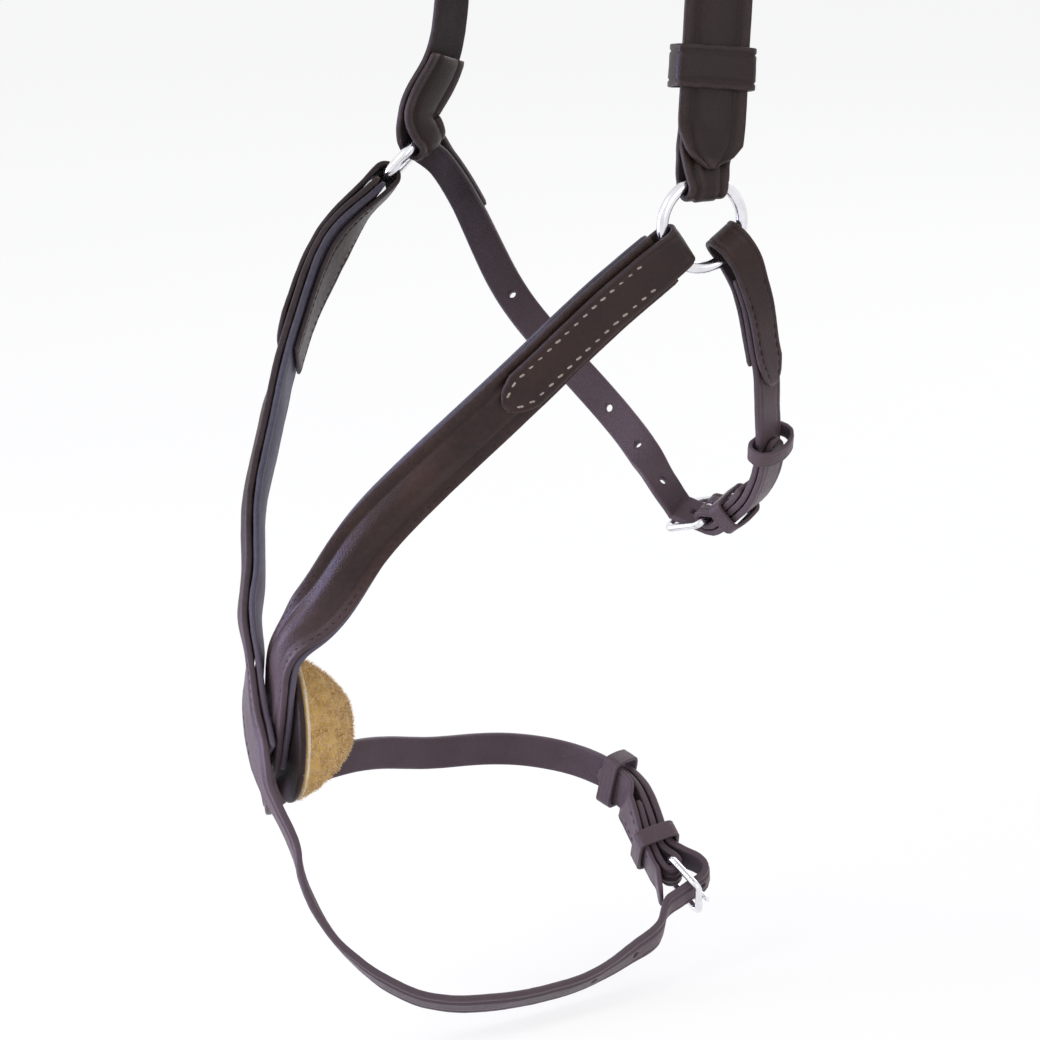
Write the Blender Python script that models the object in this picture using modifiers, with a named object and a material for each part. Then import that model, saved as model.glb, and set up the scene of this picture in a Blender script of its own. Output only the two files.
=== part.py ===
# Figure eight noseband: two rings, a padded figure eight over a fleece nose pad,
# a jaw strap, a chin strap and a headstrap, each strap closed by its own buckle.
# +X is the near side, the front of the face is -Y, and +Z is up.
# The origin is the middle of the headstrap's underside, where it rests on the poll.
import math

import bmesh
import bpy
import numpy as np
from mathutils import Matrix, Vector

for item in list(bpy.data.objects):
    bpy.data.objects.remove(item, do_unlink=True)

# Driving dimensions in metres
HALF_SPAN = 0.094          # ring centre to the middle plane
NOSE_REACH = 0.125         # nose disc in front of the rings
NOSE_DROP = 0.194          # nose disc below the rings
CHIN_HALF_WIDTH = 0.055    # chin loop to the middle plane
CHIN_DROP = 0.300          # lowest point of the chin loop below the rings
CHIN_BACK = 0.041          # chin buckle behind the rings
JAW_BACK = 0.040           # jaw loop behind the rings
JAW_DROP = 0.124           # jaw buckle below the rings
POLL_RISE = 0.325          # headstrap over the poll above the rings
POLL_BACK = 0.046          # poll behind the rings
POLL_FLAT = 0.016          # level stretch of the headstrap on the poll
CLEARANCE = 0.0003         # between pieces that touch
LAYER_GAP = 0.0005         # between leathers that bend and twist together

RING_RADIUS = 0.0165       # to the middle of the ring wire
RING_WIRE = 0.0045
RING_LEAD = 0.006          # straight leather next to a ring
FRONT_WIDTH = 0.022        # padded strap over the nose
FRONT_THICKNESS = 0.003
LINING_THICKNESS = 0.0025
NARROW_WIDTH = 0.013       # jaw strap and chin strap
JAW_THICKNESS = 0.0025
CHEEK_WIDTH = 0.0215
CHEEK_THICKNESS = 0.003
HEAD_WIDTH = 0.026         # headstrap
CHAPE_WIDTH = 0.017        # leather folded round a ring
CHAPE_THICKNESS = 0.002
CHAPE_LENGTH = 0.087       # outer leg of a front chape
CHAPE_INNER_LENGTH = 0.094
JAW_CHAPE_LENGTH = 0.056
JAW_CHAPE_INNER = 0.047
JAW_ROLL_RADIUS = 0.0052   # inside of the loose roll at the near ring
RING_FOLD_WIDTH = 0.016    # widest leather inside a ring
RETURN_LENGTH = 0.036      # strap end turned back at the far ring
CHEEK_RETURN_LENGTH = 0.058
STRAP_START = 0.0048       # strap end next to a ring, from the fold's middle
JAW_STRAP_START = 0.013
EDGE_ROUND = 0.0004
TIP_WIDTH = 0.004          # blunt end of a pointed strap
POINT_LENGTH = 0.010

FRAME_WIRE = 0.003
FRAME_LENGTH = 0.018       # heel bar to toe bar
FRAME_PLAY = 0.0008        # strap edge to side bar
FRAME_CORNER = 0.0025
TONGUE_WIRE = 0.0018
TONGUE_OVERHANG = 0.0014
BILLET_PLAY = 0.0023       # chin billet behind its toe bar
TONGUE_PLAY = 0.0005       # beside a tongue in its slot
SWING_ROOM = 0.0029        # lift of a tongue where it leaves its slot
KEEPER_LENGTH = 0.007
HEAD_KEEPER_LENGTH = 0.016
KEEPER_THICKNESS = 0.0016
KEEPER_PLAY = 0.0007
KEEPER_CORNER = 0.0012
BUCKLE_LEG = 0.030         # folded strap end behind a buckle
SPREAD_LENGTH = 0.010      # a folded strap opens round a bar over this length
RING_SPREAD_LENGTH = 0.012
JAW_SPREAD_LENGTH = 0.018
HOLE_RADIUS = 0.0015
CHIN_HOLE_PITCH = 0.025
JAW_HOLE_PITCH = 0.0205
HEAD_HOLE_PITCH = 0.025

PAD_HALF_WIDTH = 0.022
PAD_HALF_HEIGHT = 0.029
DISC_THICKNESS = 0.0025
FLEECE_DEPTH = 0.024
FLEECE_INSET = 0.001
SAFE_WIDTH = 0.0165
SAFE_THICKNESS = 0.002
SAFE_OVERHANG = 0.009

CHIN_RUNNER_BACK = 0.047   # from the heel bar to each keeper's middle
JAW_RUNNER_BACK = 0.057
HEAD_RUNNER_BACK = 0.056
FIXED_KEEPER_BACK = 0.0125
HEAD_FIXED_KEEPER_BACK = 0.016
HEAD_BUCKLE_RISE = 0.112   # cheek buckle's heel bar above the rings
HEAD_TIP_RISE = 0.0215     # point of the headstrap above the near ring's centre
CHIN_TIP_BACK = 0.054      # point of the chin strap behind its heel bar
JAW_TIP_BACK = 0.0605

SPLINE_STEP = 0.001
LONG_STEP = 0.016          # longest flat between two strap sections
OVERRUN = 0.004            # cutters past the leather

TURN_STEP = 11.0           # degrees of bend between two strap sections
FOLD_STEPS = 8
PAD_TURN = -18.0           # degrees that the nose pad looks to the far side
NEAR_RING_TURN = 78.0      # degrees from straight ahead to the near ring's face

ORIGIN = np.array((0.0, POLL_BACK, POLL_RISE - LINING_THICKNESS - LAYER_GAP - CHEEK_THICKNESS / 2))

collection = bpy.data.collections.new("figure_eight_noseband")
cutterCollection = bpy.data.collections.new("cutters")
for group in (collection, cutterCollection):
    bpy.context.scene.collection.children.link(group)


# Materials

def material(name, color, roughness, metallic=0.0):
    made = bpy.data.materials.new(name)
    made.use_nodes = True
    shader = made.node_tree.nodes["Principled BSDF"]
    shader.inputs["Base Color"].default_value = (*color, 1.0)
    shader.inputs["Roughness"].default_value = roughness
    shader.inputs["Metallic"].default_value = metallic
    made.diffuse_color = (*color, 1.0)
    return made


BROWN = material("brown_leather", (0.055, 0.035, 0.030), 0.45)
LINING = material("lining_leather", (0.045, 0.035, 0.040), 0.6)
NICKEL = material("bright_nickel", (0.80, 0.80, 0.82), 0.15, 1.0)
FLEECE = material("golden_fleece", (0.62, 0.43, 0.17), 0.95)


# Vectors and smooth lines

def vec(*parts):
    return np.array(parts, float)


def unit(vector):
    vector = np.asarray(vector, float)
    return vector / np.linalg.norm(vector)


def turned(degrees):
    # Level direction that is so many degrees from straight ahead to the near side
    return vec(math.sin(math.radians(degrees)), -math.cos(math.radians(degrees)), 0.0)


def smooth(share):
    share = min(max(share, 0.0), 1.0)
    return share * share * (3.0 - 2.0 * share)


class Cubic:
    # Cubic curve through rows of values, with given slopes at its ends or none
    def __init__(self, knots, values, first=None, last=None):
        count = len(knots)
        gaps = np.diff(knots)
        system = np.eye(count)
        wanted = np.zeros_like(values)
        for i in range(1, count - 1):
            system[i, i - 1:i + 2] = gaps[i - 1], 2 * (gaps[i - 1] + gaps[i]), gaps[i]
            rise = (values[i + 1] - values[i]) / gaps[i] - (values[i] - values[i - 1]) / gaps[i - 1]
            wanted[i] = 6 * rise
        if first is not None:
            system[0, :2] = 2 * gaps[0], gaps[0]
            wanted[0] = 6 * ((values[1] - values[0]) / gaps[0] - first)
            system[-1, -2:] = gaps[-1], 2 * gaps[-1]
            wanted[-1] = 6 * (last - (values[-1] - values[-2]) / gaps[-1])
        self.bends = np.linalg.solve(system, wanted)
        self.knots = knots
        self.values = values

    def at(self, places):
        spans = np.clip(np.searchsorted(self.knots, places) - 1, 0, len(self.knots) - 2)
        low = self.knots[spans]
        gap = self.knots[spans + 1] - low
        after = ((places - low) / gap)[:, None]
        before = 1.0 - after
        scale = (gap ** 2 / 6)[:, None]
        line = before * self.values[spans] + after * self.values[spans + 1]
        return line + scale * ((before ** 3 - before) * self.bends[spans]
                               + (after ** 3 - after) * self.bends[spans + 1])


class Seat:
    # Straight axes at one place: along a strap, out of its face, and across it
    def __init__(self, origin, along, face):
        self.origin = np.asarray(origin, float)
        self.along = unit(along)
        face = np.asarray(face, float)
        self.face = unit(face - (face @ self.along) * self.along)
        self.across = np.cross(self.along, self.face)

    def place(self, run, rise=0.0, side=0.0):
        return self.origin + self.along * run + self.face * rise + self.across * side

    def row(self, run, rise, half, flip=1.0):
        return self.place(run, rise), self.across * flip, half, flip

    def moved(self, run, rise=0.0):
        return Seat(self.place(run, rise), self.along, self.face)

    def matrix(self, first, second, third):
        # Object matrix whose columns are three of the seat's own directions
        made = Matrix.Identity(4)
        for column, direction in enumerate((first, second, third)):
            for i in range(3):
                made[i][column] = direction[i]
        for i in range(3):
            made[i][3] = self.origin[i]
        return made


class Route:
    # The middle line of a strap, with the way that its outer face looks.
    # All layers on a route share its sections, so they stay parallel.
    # Between the two places named in pins, if any, it lies straight and flat.
    def __init__(self, places, faces, first, last, pins=(), spreads=()):
        places = np.array(places, float)
        faces = np.array([unit(face) for face in faces])
        reaches = np.linalg.norm(np.diff(places, axis=0), axis=1)
        knots = np.concatenate([[0.0], np.cumsum(reaches)]).round(9)
        count = int(round(knots[-1] / SPLINE_STEP)) + 1
        samples = np.unique(np.concatenate([np.linspace(0.0, knots[-1], count).round(9), knots]))
        points = Cubic(knots, places, unit(first), unit(last)).at(samples)
        stops = [int(np.argmin(abs(samples - knots[pin]))) for pin in pins]
        flat = slice(stops[0], stops[-1] + 1) if stops else slice(0, 0)
        for column in range(3):
            points[flat, column] = np.interp(samples[flat], knots, places[:, column])
        along = np.gradient(points, samples, axis=0)
        along[0] = first
        along[-1] = last
        along /= np.linalg.norm(along, axis=1)[:, None]
        looks = Cubic(knots, faces).at(samples)
        if stops:
            along[flat] = unit(points[stops[-1]] - points[stops[0]])
            looks[flat] = faces[pins[0]]
        looks -= (looks * along).sum(axis=1)[:, None] * along
        looks /= np.linalg.norm(looks, axis=1)[:, None]
        across = np.cross(along, looks)
        runs = np.concatenate([[0.0], np.cumsum(np.linalg.norm(np.diff(points, axis=0), axis=1))])
        turns = self.turns(along) + self.turns(looks)
        steps = np.maximum(turns / math.radians(TURN_STEP), np.diff(runs) / LONG_STEP)
        costs = np.concatenate([[0.0], np.cumsum(steps)])
        ends = [0] + stops + [len(samples) - 1]
        chosen = [0]
        for first, last in zip(ends, ends[1:]):
            spans = max(1, math.ceil(costs[last] - costs[first]))
            wanted = np.linspace(costs[first], costs[last], spans + 1)[1:-1]
            found = [int(np.argmin(abs(costs - value))) for value in wanted]
            inside = [at for at in found if min(runs[at] - runs[first], runs[last] - runs[at]) > SPLINE_STEP]
            chosen += inside + [last]
        self.runs = runs[chosen]
        self.points = points[chosen]
        self.looks = looks[chosen]
        self.sides = across[chosen]
        self.first = along[0]
        self.last = along[-1]
        self.length = self.runs[-1]
        self.fine = points
        self.fineRuns = runs
        marks = list(self.runs)
        for start, end in spreads:
            reach = end - start if end is not None else -start
            for share in (0.0, 0.3, 0.6, 1.0):
                run = (start if start >= 0 else self.length + start) + reach * share
                if min(abs(run - mark) for mark in marks) > SPLINE_STEP:
                    marks.append(run)
        self.marks = sorted(marks)

    def turns(self, vectors):
        cosines = np.clip((vectors[1:] * vectors[:-1]).sum(axis=1), -1.0, 1.0)
        return np.arccos(cosines)

    def frame(self, run):
        inside = min(max(run, 0.0), self.length)
        parts = [np.array([np.interp(inside, self.runs, column) for column in table.T])
                 for table in (self.points, self.looks, self.sides)]
        beyond = run - inside
        parts[0] = parts[0] + (self.first if run < 0 else self.last) * beyond
        return parts

    def place(self, run, rise=0.0, side=0.0):
        point, look, across = self.frame(run)
        return point + look * rise + across * side

    def row(self, run, rise, half, flip=1.0):
        point, look, across = self.frame(run)
        return point + look * rise, unit(across) * flip, half, flip

    def rows(self, start, end, rise, half, extra=()):
        # Sections from one run to another, either way along the route
        low, high = min(start, end), max(start, end)
        inner = [mark for mark in list(self.marks) + list(extra)
                 if low + SPLINE_STEP < mark < high - SPLINE_STEP]
        runs = sorted(set([low, high] + inner))
        made = [self.row(run, rise(run), half(run)) for run in runs]
        if start > end:
            made = [(centre, across, wide, -flip) for centre, across, wide, flip in reversed(made)]
        return made

    def seat(self, run):
        # Straight axes that touch the route, from the chord a keeper's length long
        reach = KEEPER_LENGTH / 2
        before, after = self.place(run - reach), self.place(run + reach)
        look = self.frame(run)[1]
        return Seat((before + after) / 4 + self.place(run) / 2, after - before, look)

    def nearest(self, point):
        return self.fineRuns[int(np.argmin(np.linalg.norm(self.fine - point, axis=1)))]


def level(value):
    return lambda run: value


def steps(*pairs):
    # Value that changes evenly between the runs given
    runs = [pair[0] for pair in pairs]
    values = [pair[1] for pair in pairs]
    return lambda run: float(np.interp(run, runs, values))


def fold(base, run, rise, radius, side, half, flip=1.0):
    # Sections round a bar, from the leg over it to the leg under it
    rows = []
    for step in range(1, FOLD_STEPS):
        angle = math.pi / 2 - math.pi * step / FOLD_STEPS
        reach = side * radius * math.cos(angle)
        rows.append(base.row(run + reach, rise + radius * math.sin(angle), half, flip))
    return rows


def flipped(rows):
    # The same sections for a strap that runs the other way
    return [(centre, -across, half, -sense) for centre, across, half, sense in rows]


# Making objects

def put(name, data, matrix=None, look=BROWN):
    made = bpy.data.objects.new(name, data)
    collection.objects.link(made)
    data.materials.append(look)
    if matrix is not None:
        made.matrix_world = matrix
    return made


def ribbon(name, rows, thickness, look=BROWN):
    # Strap of even thickness through its sections
    sheet = bmesh.new()
    last = len(rows) - 1
    bmesh.ops.create_grid(sheet, x_segments=1, y_segments=last, size=1.0)
    senses = {}
    for face in sheet.faces:
        senses[face] = rows[round((face.calc_center_median().y + 1.0) / 2.0 * last + 0.5)][3]
    for vert in sheet.verts:
        centre, across, half, sense = rows[round((vert.co.y + 1.0) / 2.0 * last)]
        vert.co = Vector(centre - ORIGIN + across * half * round(vert.co.x))
    # Each flat is split the same way in space, so that layers that twist stay parallel
    for sense, method in ((1.0, "FIXED"), (-1.0, "ALTERNATE")):
        chosen = [face for face in senses if senses[face] == sense]
        bmesh.ops.triangulate(sheet, faces=chosen, quad_method=method)
    mesh = bpy.data.meshes.new(name)
    sheet.to_mesh(mesh)
    sheet.free()
    made = put(name, mesh, look=look)
    solid = made.modifiers.new("thickness", "SOLIDIFY")
    solid.thickness = thickness
    solid.offset = 0.0
    return made


def cut(target, cutter):
    modifier = target.modifiers.new("cut", "BOOLEAN")
    modifier.operation = "DIFFERENCE"
    modifier.solver = "EXACT"
    modifier.object = cutter


def cutterObject(name, mesh, matrix):
    made = bpy.data.objects.new(name, mesh)
    cutterCollection.objects.link(made)
    made.matrix_world = matrix
    made.hide_render = True
    made.display_type = "WIRE"
    return made


def blockCutter(name, seat, runs, rises, width):
    # Box with its long sides along the strap
    block = bmesh.new()
    bmesh.ops.create_cube(block, size=1.0)
    for vert in block.verts:
        vert.co = Vector((runs[0] + (vert.co.x + 0.5) * (runs[1] - runs[0]), vert.co.y * width,
                          rises[0] + (vert.co.z + 0.5) * (rises[1] - rises[0])))
    mesh = bpy.data.meshes.new(name)
    block.to_mesh(mesh)
    block.free()
    base = Seat(seat.origin - ORIGIN, seat.along, seat.face)
    return cutterObject(name, mesh, base.matrix(base.along, -base.across, base.face))


def holeCutter(name, seats, reach):
    # One round punch for each hole along a strap
    punches = bmesh.new()
    for seat in seats:
        base = Seat(seat.origin - ORIGIN, seat.along, seat.face)
        bmesh.ops.create_cone(punches, cap_ends=True, segments=8, radius1=HOLE_RADIUS, radius2=HOLE_RADIUS,
                              depth=2 * reach, matrix=base.matrix(base.along, -base.across, base.face))
    mesh = bpy.data.meshes.new(name)
    punches.to_mesh(mesh)
    punches.free()
    return cutterObject(name, mesh, Matrix.Identity(4))


def wire(name, points, seat, thickness, closed, radii=None, look=NICKEL):
    # Round wire through points of (along, outward, across) from the seat's origin
    curve = bpy.data.curves.new(name, "CURVE")
    curve.dimensions = "3D"
    curve.bevel_depth = thickness / 2
    curve.bevel_resolution = 2
    curve.use_fill_caps = not closed
    line = curve.splines.new("POLY")
    line.points.add(len(points) - 1)
    for i, (run, rise, side) in enumerate(points):
        line.points[i].co = (run, -side, rise, 1.0)
        line.points[i].radius = radii[i] if radii else 1.0
    line.use_cyclic_u = closed
    line.use_smooth = True
    base = Seat(seat.origin - ORIGIN, seat.along, seat.face)
    return put(name, curve, base.matrix(base.along, -base.across, base.face), look)


def roundedRectangle(halfWidth, halfHeight, corner, parts=4):
    points = []
    for quarter in range(4):
        x = halfWidth - corner if quarter in (0, 3) else corner - halfWidth
        y = halfHeight - corner if quarter in (0, 1) else corner - halfHeight
        for part in range(parts + 1):
            angle = math.pi / 2 * (quarter + part / parts)
            points.append((x + corner * math.cos(angle), y + corner * math.sin(angle)))
    return points


def keeper(name, seat, low, high, half, length):
    # Closed leather band round the layers that lie between two heights
    curve = bpy.data.curves.new(name, "CURVE")
    curve.dimensions = "2D"
    curve.fill_mode = "BOTH"
    curve.extrude = length / 2
    middle = seat.moved(0.0, (low + high) / 2)
    inside = (half + KEEPER_PLAY, (high - low) / 2 + KEEPER_PLAY)
    for margin, corner in ((KEEPER_THICKNESS, KEEPER_CORNER + KEEPER_THICKNESS), (0.0, KEEPER_CORNER)):
        points = roundedRectangle(inside[0] + margin, inside[1] + margin, corner)
        line = curve.splines.new("POLY")
        line.points.add(len(points) - 1)
        for i, (x, y) in enumerate(points):
            line.points[i].co = (x, y, 0.0, 1.0)
        line.use_cyclic_u = True
    base = Seat(middle.origin - ORIGIN, middle.along, middle.face)
    return put(name, curve, base.matrix(-base.across, base.face, base.along))


# Rings

class Ring:
    def __init__(self, name, centre, face):
        self.centre = centre
        self.face = unit(face)
        bpy.ops.mesh.primitive_torus_add(major_segments=40, minor_segments=10,
                                         major_radius=RING_RADIUS, minor_radius=RING_WIRE / 2)
        made = bpy.context.object
        made.name = name
        made.data.name = name
        for group in list(made.users_collection):
            group.objects.unlink(made)
        collection.objects.link(made)
        made.data.materials.append(NICKEL)
        made.data.shade_smooth()
        seat = Seat(centre - ORIGIN, np.cross(self.face, (0.0, 0.6, 0.8)), self.face)
        made.matrix_world = seat.matrix(seat.along, -seat.across, seat.face)

    def sag(self, width):
        return RING_RADIUS - math.sqrt(RING_RADIUS ** 2 - (width / 2) ** 2)

    def start(self, way, width, rise, face=None):
        # Middle of a fold round the wire, moved so that the strap's own line starts there
        look = self.face if face is None else face
        return self.centre + way * (RING_RADIUS - self.sag(width) / 2) - look * rise

    def foldRadius(self, width, thickness):
        # Clears the wire's slant at the strap's edges, and the flats of the fold
        slant = math.sqrt(1.0 - (width / 2 / RING_RADIUS) ** 2)
        inside = RING_WIRE / 2 / slant + self.sag(width) / 2 + CLEARANCE
        return inside / math.cos(math.pi / 2 / FOLD_STEPS) + thickness / 2


nearRing = Ring("near_ring", vec(HALF_SPAN, 0.0, 0.0), turned(NEAR_RING_TURN))
farRing = Ring("far_ring", vec(-HALF_SPAN, 0.0, 0.0), vec(-0.563, -0.49, 0.662))
nearLevel = unit(np.cross(vec(0.0, 0.0, 1.0), nearRing.face))
farUp = unit(np.cross(farRing.face, np.cross(vec(0.276, 0.643, 0.711), farRing.face)))
farForward = np.cross(farUp, farRing.face)


# Buckles

class Buckle:
    # The seat lies on the folded strap's outer leg, straight over the heel bar
    def __init__(self, name, seat, chape, billet, width, flat=True):
        bar = FRAME_WIRE / 2
        self.seat = seat
        self.pitch = chape + LAYER_GAP
        self.heel = -self.pitch / 2
        self.fold = bar + CLEARANCE + chape / 2
        self.over = self.fold + (chape + billet) / 2 + CLEARANCE
        self.spread = self.fold - self.pitch / 2
        self.billetPitch = (chape + billet) / 2 + LAYER_GAP
        self.toe = billet / 2 + 2 * CLEARANCE + bar if flat else self.heel
        self.landing = FRAME_LENGTH - bar - billet / 2
        self.axle = seat.moved(0.0, self.heel)
        self.chape = chape
        self.billet = billet
        self.frame(name, width)
        self.tongue(name)

    def frame(self, name, width):
        lift = self.toe - self.heel
        reach = math.hypot(FRAME_LENGTH, lift)
        outline = roundedRectangle(reach / 2, (width + FRAME_WIRE) / 2 + FRAME_PLAY, FRAME_CORNER)
        points = []
        for forward, side in outline:
            share = (forward + reach / 2) / reach
            points.append((FRAME_LENGTH * share, lift * share, side))
        wire(name + "_buckle_frame", points, self.axle, FRAME_WIRE, True)

    def tongue(self, name):
        eye = FRAME_WIRE / 2 + CLEARANCE + TONGUE_WIRE / 2
        lift = self.toe - self.heel
        over = lift + eye / math.cos(math.atan2(lift, FRAME_LENGTH))
        reach = math.hypot(FRAME_LENGTH, over)
        lean = math.atan2(over, FRAME_LENGTH) - math.asin(eye / reach)
        shank = math.sqrt(reach ** 2 - eye ** 2)
        tip = shank + FRAME_WIRE / 2 + TONGUE_OVERHANG
        root = math.pi / 2 + lean
        points = []
        radii = []
        for along, radius in ((tip, 0.55), (tip - TONGUE_WIRE / 2, 0.85), (shank, 1.0), (shank / 2, 1.0)):
            points.append((eye * math.cos(root) + along * math.cos(lean),
                           eye * math.sin(root) + along * math.sin(lean), 0.0))
            radii.append(radius)
        for part in range(11):
            angle = root + math.radians(27.0) * part
            points.append((eye * math.cos(angle), eye * math.sin(angle), 0.0))
            radii.append(1.0)
        self.lean = lean
        self.eye = eye
        wire(name + "_buckle_tongue", points, self.axle, TONGUE_WIRE, False, radii)

    def tongueRise(self, run):
        # Middle of the tongue over a place on the strap
        return self.heel + (self.eye + run * math.sin(self.lean)) / math.cos(self.lean)

    def opening(self, length):
        # Extra half gap between the folded strap's legs, near its heel bar
        return lambda run: self.spread * smooth((run - length + SPREAD_LENGTH) / SPREAD_LENGTH)

    def chapeSlot(self, name, target):
        reach = self.fold + self.chape / 2 + OVERRUN
        slot = blockCutter(name, self.axle, (-SPREAD_LENGTH / 2, reach), (-reach, reach), self.slotWidth())
        cut(target, slot)

    def slotWidth(self):
        return TONGUE_WIRE + 2 * TONGUE_PLAY

    def flatBillet(self, half):
        # Over the heel bar and down to the toe bar, on the seat's own axes
        distance = math.hypot(self.landing, self.heel)
        angle = math.atan2(-self.heel, self.landing) + math.acos(self.over / distance)
        turn = math.pi / 2 - angle
        rows = []
        for part in range(4):
            swing = turn * part / 3
            rows.append(self.axle.row(self.over * math.sin(swing), self.over * math.cos(swing), half))
        rows.append(self.seat.row(self.landing, 0.0, half))
        self.slope = math.tan(turn)
        return rows

    def flatSlot(self, name, target):
        slotShare = 0.72
        cut(target, blockCutter(name, self.seat, (CLEARANCE, self.landing * slotShare),
                                (-self.billet, self.over + OVERRUN), self.slotWidth()))


def pointed(start, end, half):
    # Half width of a strap whose tip is a blunt point
    way = 1.0 if end > start else -1.0
    pairs = [(start, TIP_WIDTH / 2), (start + way * POINT_LENGTH * 0.4, half * 0.72),
             (start + way * POINT_LENGTH, half)]
    return sorted(pairs), [pair[0] for pair in pairs[1:]]


# Places of the buckles and of the nose pad

PAD_FACE = turned(PAD_TURN)
padSeat = Seat(vec(0.0, -NOSE_REACH, -NOSE_DROP), vec(0.0, 0.0, -1.0), PAD_FACE)

cheekPitch = CHEEK_THICKNESS + LAYER_GAP
cheekSeat = Seat(vec(0.868 * HALF_SPAN, 0.387 * POLL_BACK, HEAD_BUCKLE_RISE),
                 vec(-0.134, 0.171, 0.976), turned(67.0))
jawSeat = Seat(vec(0.564 * HALF_SPAN, 0.99 * JAW_BACK, -JAW_DROP),
               vec(-0.965, -0.19, -0.02), vec(-0.177, 0.40, -0.86))
chinSeat = Seat(vec(0.484 * CHIN_HALF_WIDTH, CHIN_BACK + FRONT_THICKNESS / 2, -0.909 * CHIN_DROP),
                vec(0.848, 0.107, -0.514), vec(0.136, 0.882, 0.409))

cheekBuckle = Buckle("cheek", cheekSeat, CHEEK_THICKNESS, CHEEK_THICKNESS, HEAD_WIDTH)
jawBuckle = Buckle("jaw", jawSeat, JAW_THICKNESS, JAW_THICKNESS, NARROW_WIDTH)
chinBuckle = Buckle("chin", chinSeat, FRONT_THICKNESS, FRONT_THICKNESS, NARROW_WIDTH, flat=False)


# Nose pad: a leather disc with a fleece dome behind it

def pad():
    base = Seat(padSeat.origin - ORIGIN, padSeat.along, padSeat.face)
    matrix = base.matrix(-base.across, -base.along, base.face)
    disc = bmesh.new()
    bmesh.ops.create_circle(disc, cap_ends=True, segments=36, radius=1.0)
    bmesh.ops.scale(disc, vec=(PAD_HALF_WIDTH, PAD_HALF_HEIGHT, 1.0), verts=disc.verts)
    mesh = bpy.data.meshes.new("nose_disc")
    disc.to_mesh(mesh)
    disc.free()
    made = put("nose_disc", mesh, matrix)
    solid = made.modifiers.new("thickness", "SOLIDIFY")
    solid.thickness = DISC_THICKNESS
    solid.offset = 0.0
    rounded = made.modifiers.new("edges", "BEVEL")
    rounded.width = EDGE_ROUND
    rounded.segments = 1
    rounded.limit_method = "ANGLE"

    dome = bmesh.new()
    bmesh.ops.create_uvsphere(dome, u_segments=28, v_segments=14, radius=1.0)
    for height, inward in ((0.0, 1.0), (-0.93, -1.0)):
        parts = dome.verts[:] + dome.edges[:] + dome.faces[:]
        found = bmesh.ops.bisect_plane(dome, geom=parts, dist=1e-6, plane_co=(0.0, 0.0, height),
                                       plane_no=(0.0, 0.0, inward), clear_outer=True)
        rim = [item for item in found["geom_cut"] if isinstance(item, bmesh.types.BMEdge)]
        bmesh.ops.contextual_create(dome, geom=rim)
    halves = (PAD_HALF_WIDTH - FLEECE_INSET, PAD_HALF_HEIGHT - FLEECE_INSET)
    bmesh.ops.scale(dome, vec=(halves[0], halves[1], FLEECE_DEPTH), verts=dome.verts)
    bmesh.ops.translate(dome, vec=(0.0, 0.0, -DISC_THICKNESS / 2 - CLEARANCE), verts=dome.verts)
    bmesh.ops.recalc_face_normals(dome, faces=dome.faces)
    mesh = bpy.data.meshes.new("fleece_pad")
    dome.to_mesh(mesh)
    dome.free()
    made = put("fleece_pad", mesh, matrix, FLEECE)
    mesh.shade_smooth()


pad()


# Route tables. A place is given in shares of half span, nose reach and nose drop,
# or of half width, of reach to the front and back, and of drop under the chin. The
# heights of the headstrap are shares of the cheek buckle's rise and of the rise above it.

noseShares = (
    (0.936, 0.330, 0.147), (0.830, 0.505, 0.259), (0.686, 0.661, 0.375), (0.521, 0.806, 0.494),
    (0.378, 0.930, 0.613), (0.234, 1.010, 0.738))
nearNoseTurns = (78.0, 76.0, 71.0, 62.0, 45.0, 19.0)
farNoseTurns = (-45.0, -41.0, -40.0, -40.0, -40.0, -41.0)
nearPadShares = (
    (0.75, 1.41, 0.40), (0.46, 0.98, 1.0), (0.25, 0.48, 1.0), (0.0, 0.0, 1.0), (-0.27, -0.48, 1.0),
    (-0.56, -0.95, 0.86), (-0.86, -1.12, 0.45))
nearPadTurns = (PAD_TURN,) * 7
farPadShares = (
    (-0.59, 1.41, 0.93), (-0.33, 0.97, 0.97), (-0.20, 0.48, 1.05), (-0.045, 0.0, 1.03), (0.32, -0.41, 1.0),
    (0.52, -0.69, 0.92), (0.64, -0.93, 0.70))
farPadTurns = (-42.0, -37.0, -25.0) + (PAD_TURN,) * 4
farChinShares = (
    (-0.52, 0.848, 0.753), (-0.69, 0.55, 0.744), (-0.82, 0.355, 0.757), (-0.91, 0.17, 0.774),
    (-0.87, -0.295, 0.785), (-0.655, -0.812, 0.798), (-0.29, -0.99, 0.810), (0.0, -1.06, 0.832))
farChinFaces = (
    (-0.97, -0.26, 0.0), (-1.0, 0.0, 0.0), (-1.0, 0.05, 0.0), (-0.99, 0.1, 0.0), (-0.9, 0.42, 0.0),
    (-0.57, 0.82, 0.0), (-0.26, 0.96, 0.05), (-0.05, 0.96, 0.2))
nearChinShares = (
    (0.31, 1.066, 0.790), (0.436, 1.078, 0.822), (0.60, 1.082, 0.854), (0.745, 1.053, 0.889),
    (0.873, 0.975, 0.929), (0.98, 0.78, 0.98), (1.018, 0.64, 0.994), (1.018, 0.411, 1.003),
    (0.964, 0.16, 1.001), (0.855, -0.227, 0.983), (0.782, -0.546, 0.970))
nearChinFaces = (
    (-0.40, -0.90, -0.10), (-0.50, -0.80, -0.32), (-0.42, -0.75, -0.50), (-0.20, -0.68, -0.70),
    (0.10, -0.50, -0.86), (0.45, -0.20, -0.87), (0.60, -0.03, -0.80), (0.65, 0.0, -0.76),
    (0.72, 0.08, -0.69), (0.85, 0.30, -0.43), (0.90, 0.25, -0.36))
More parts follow.
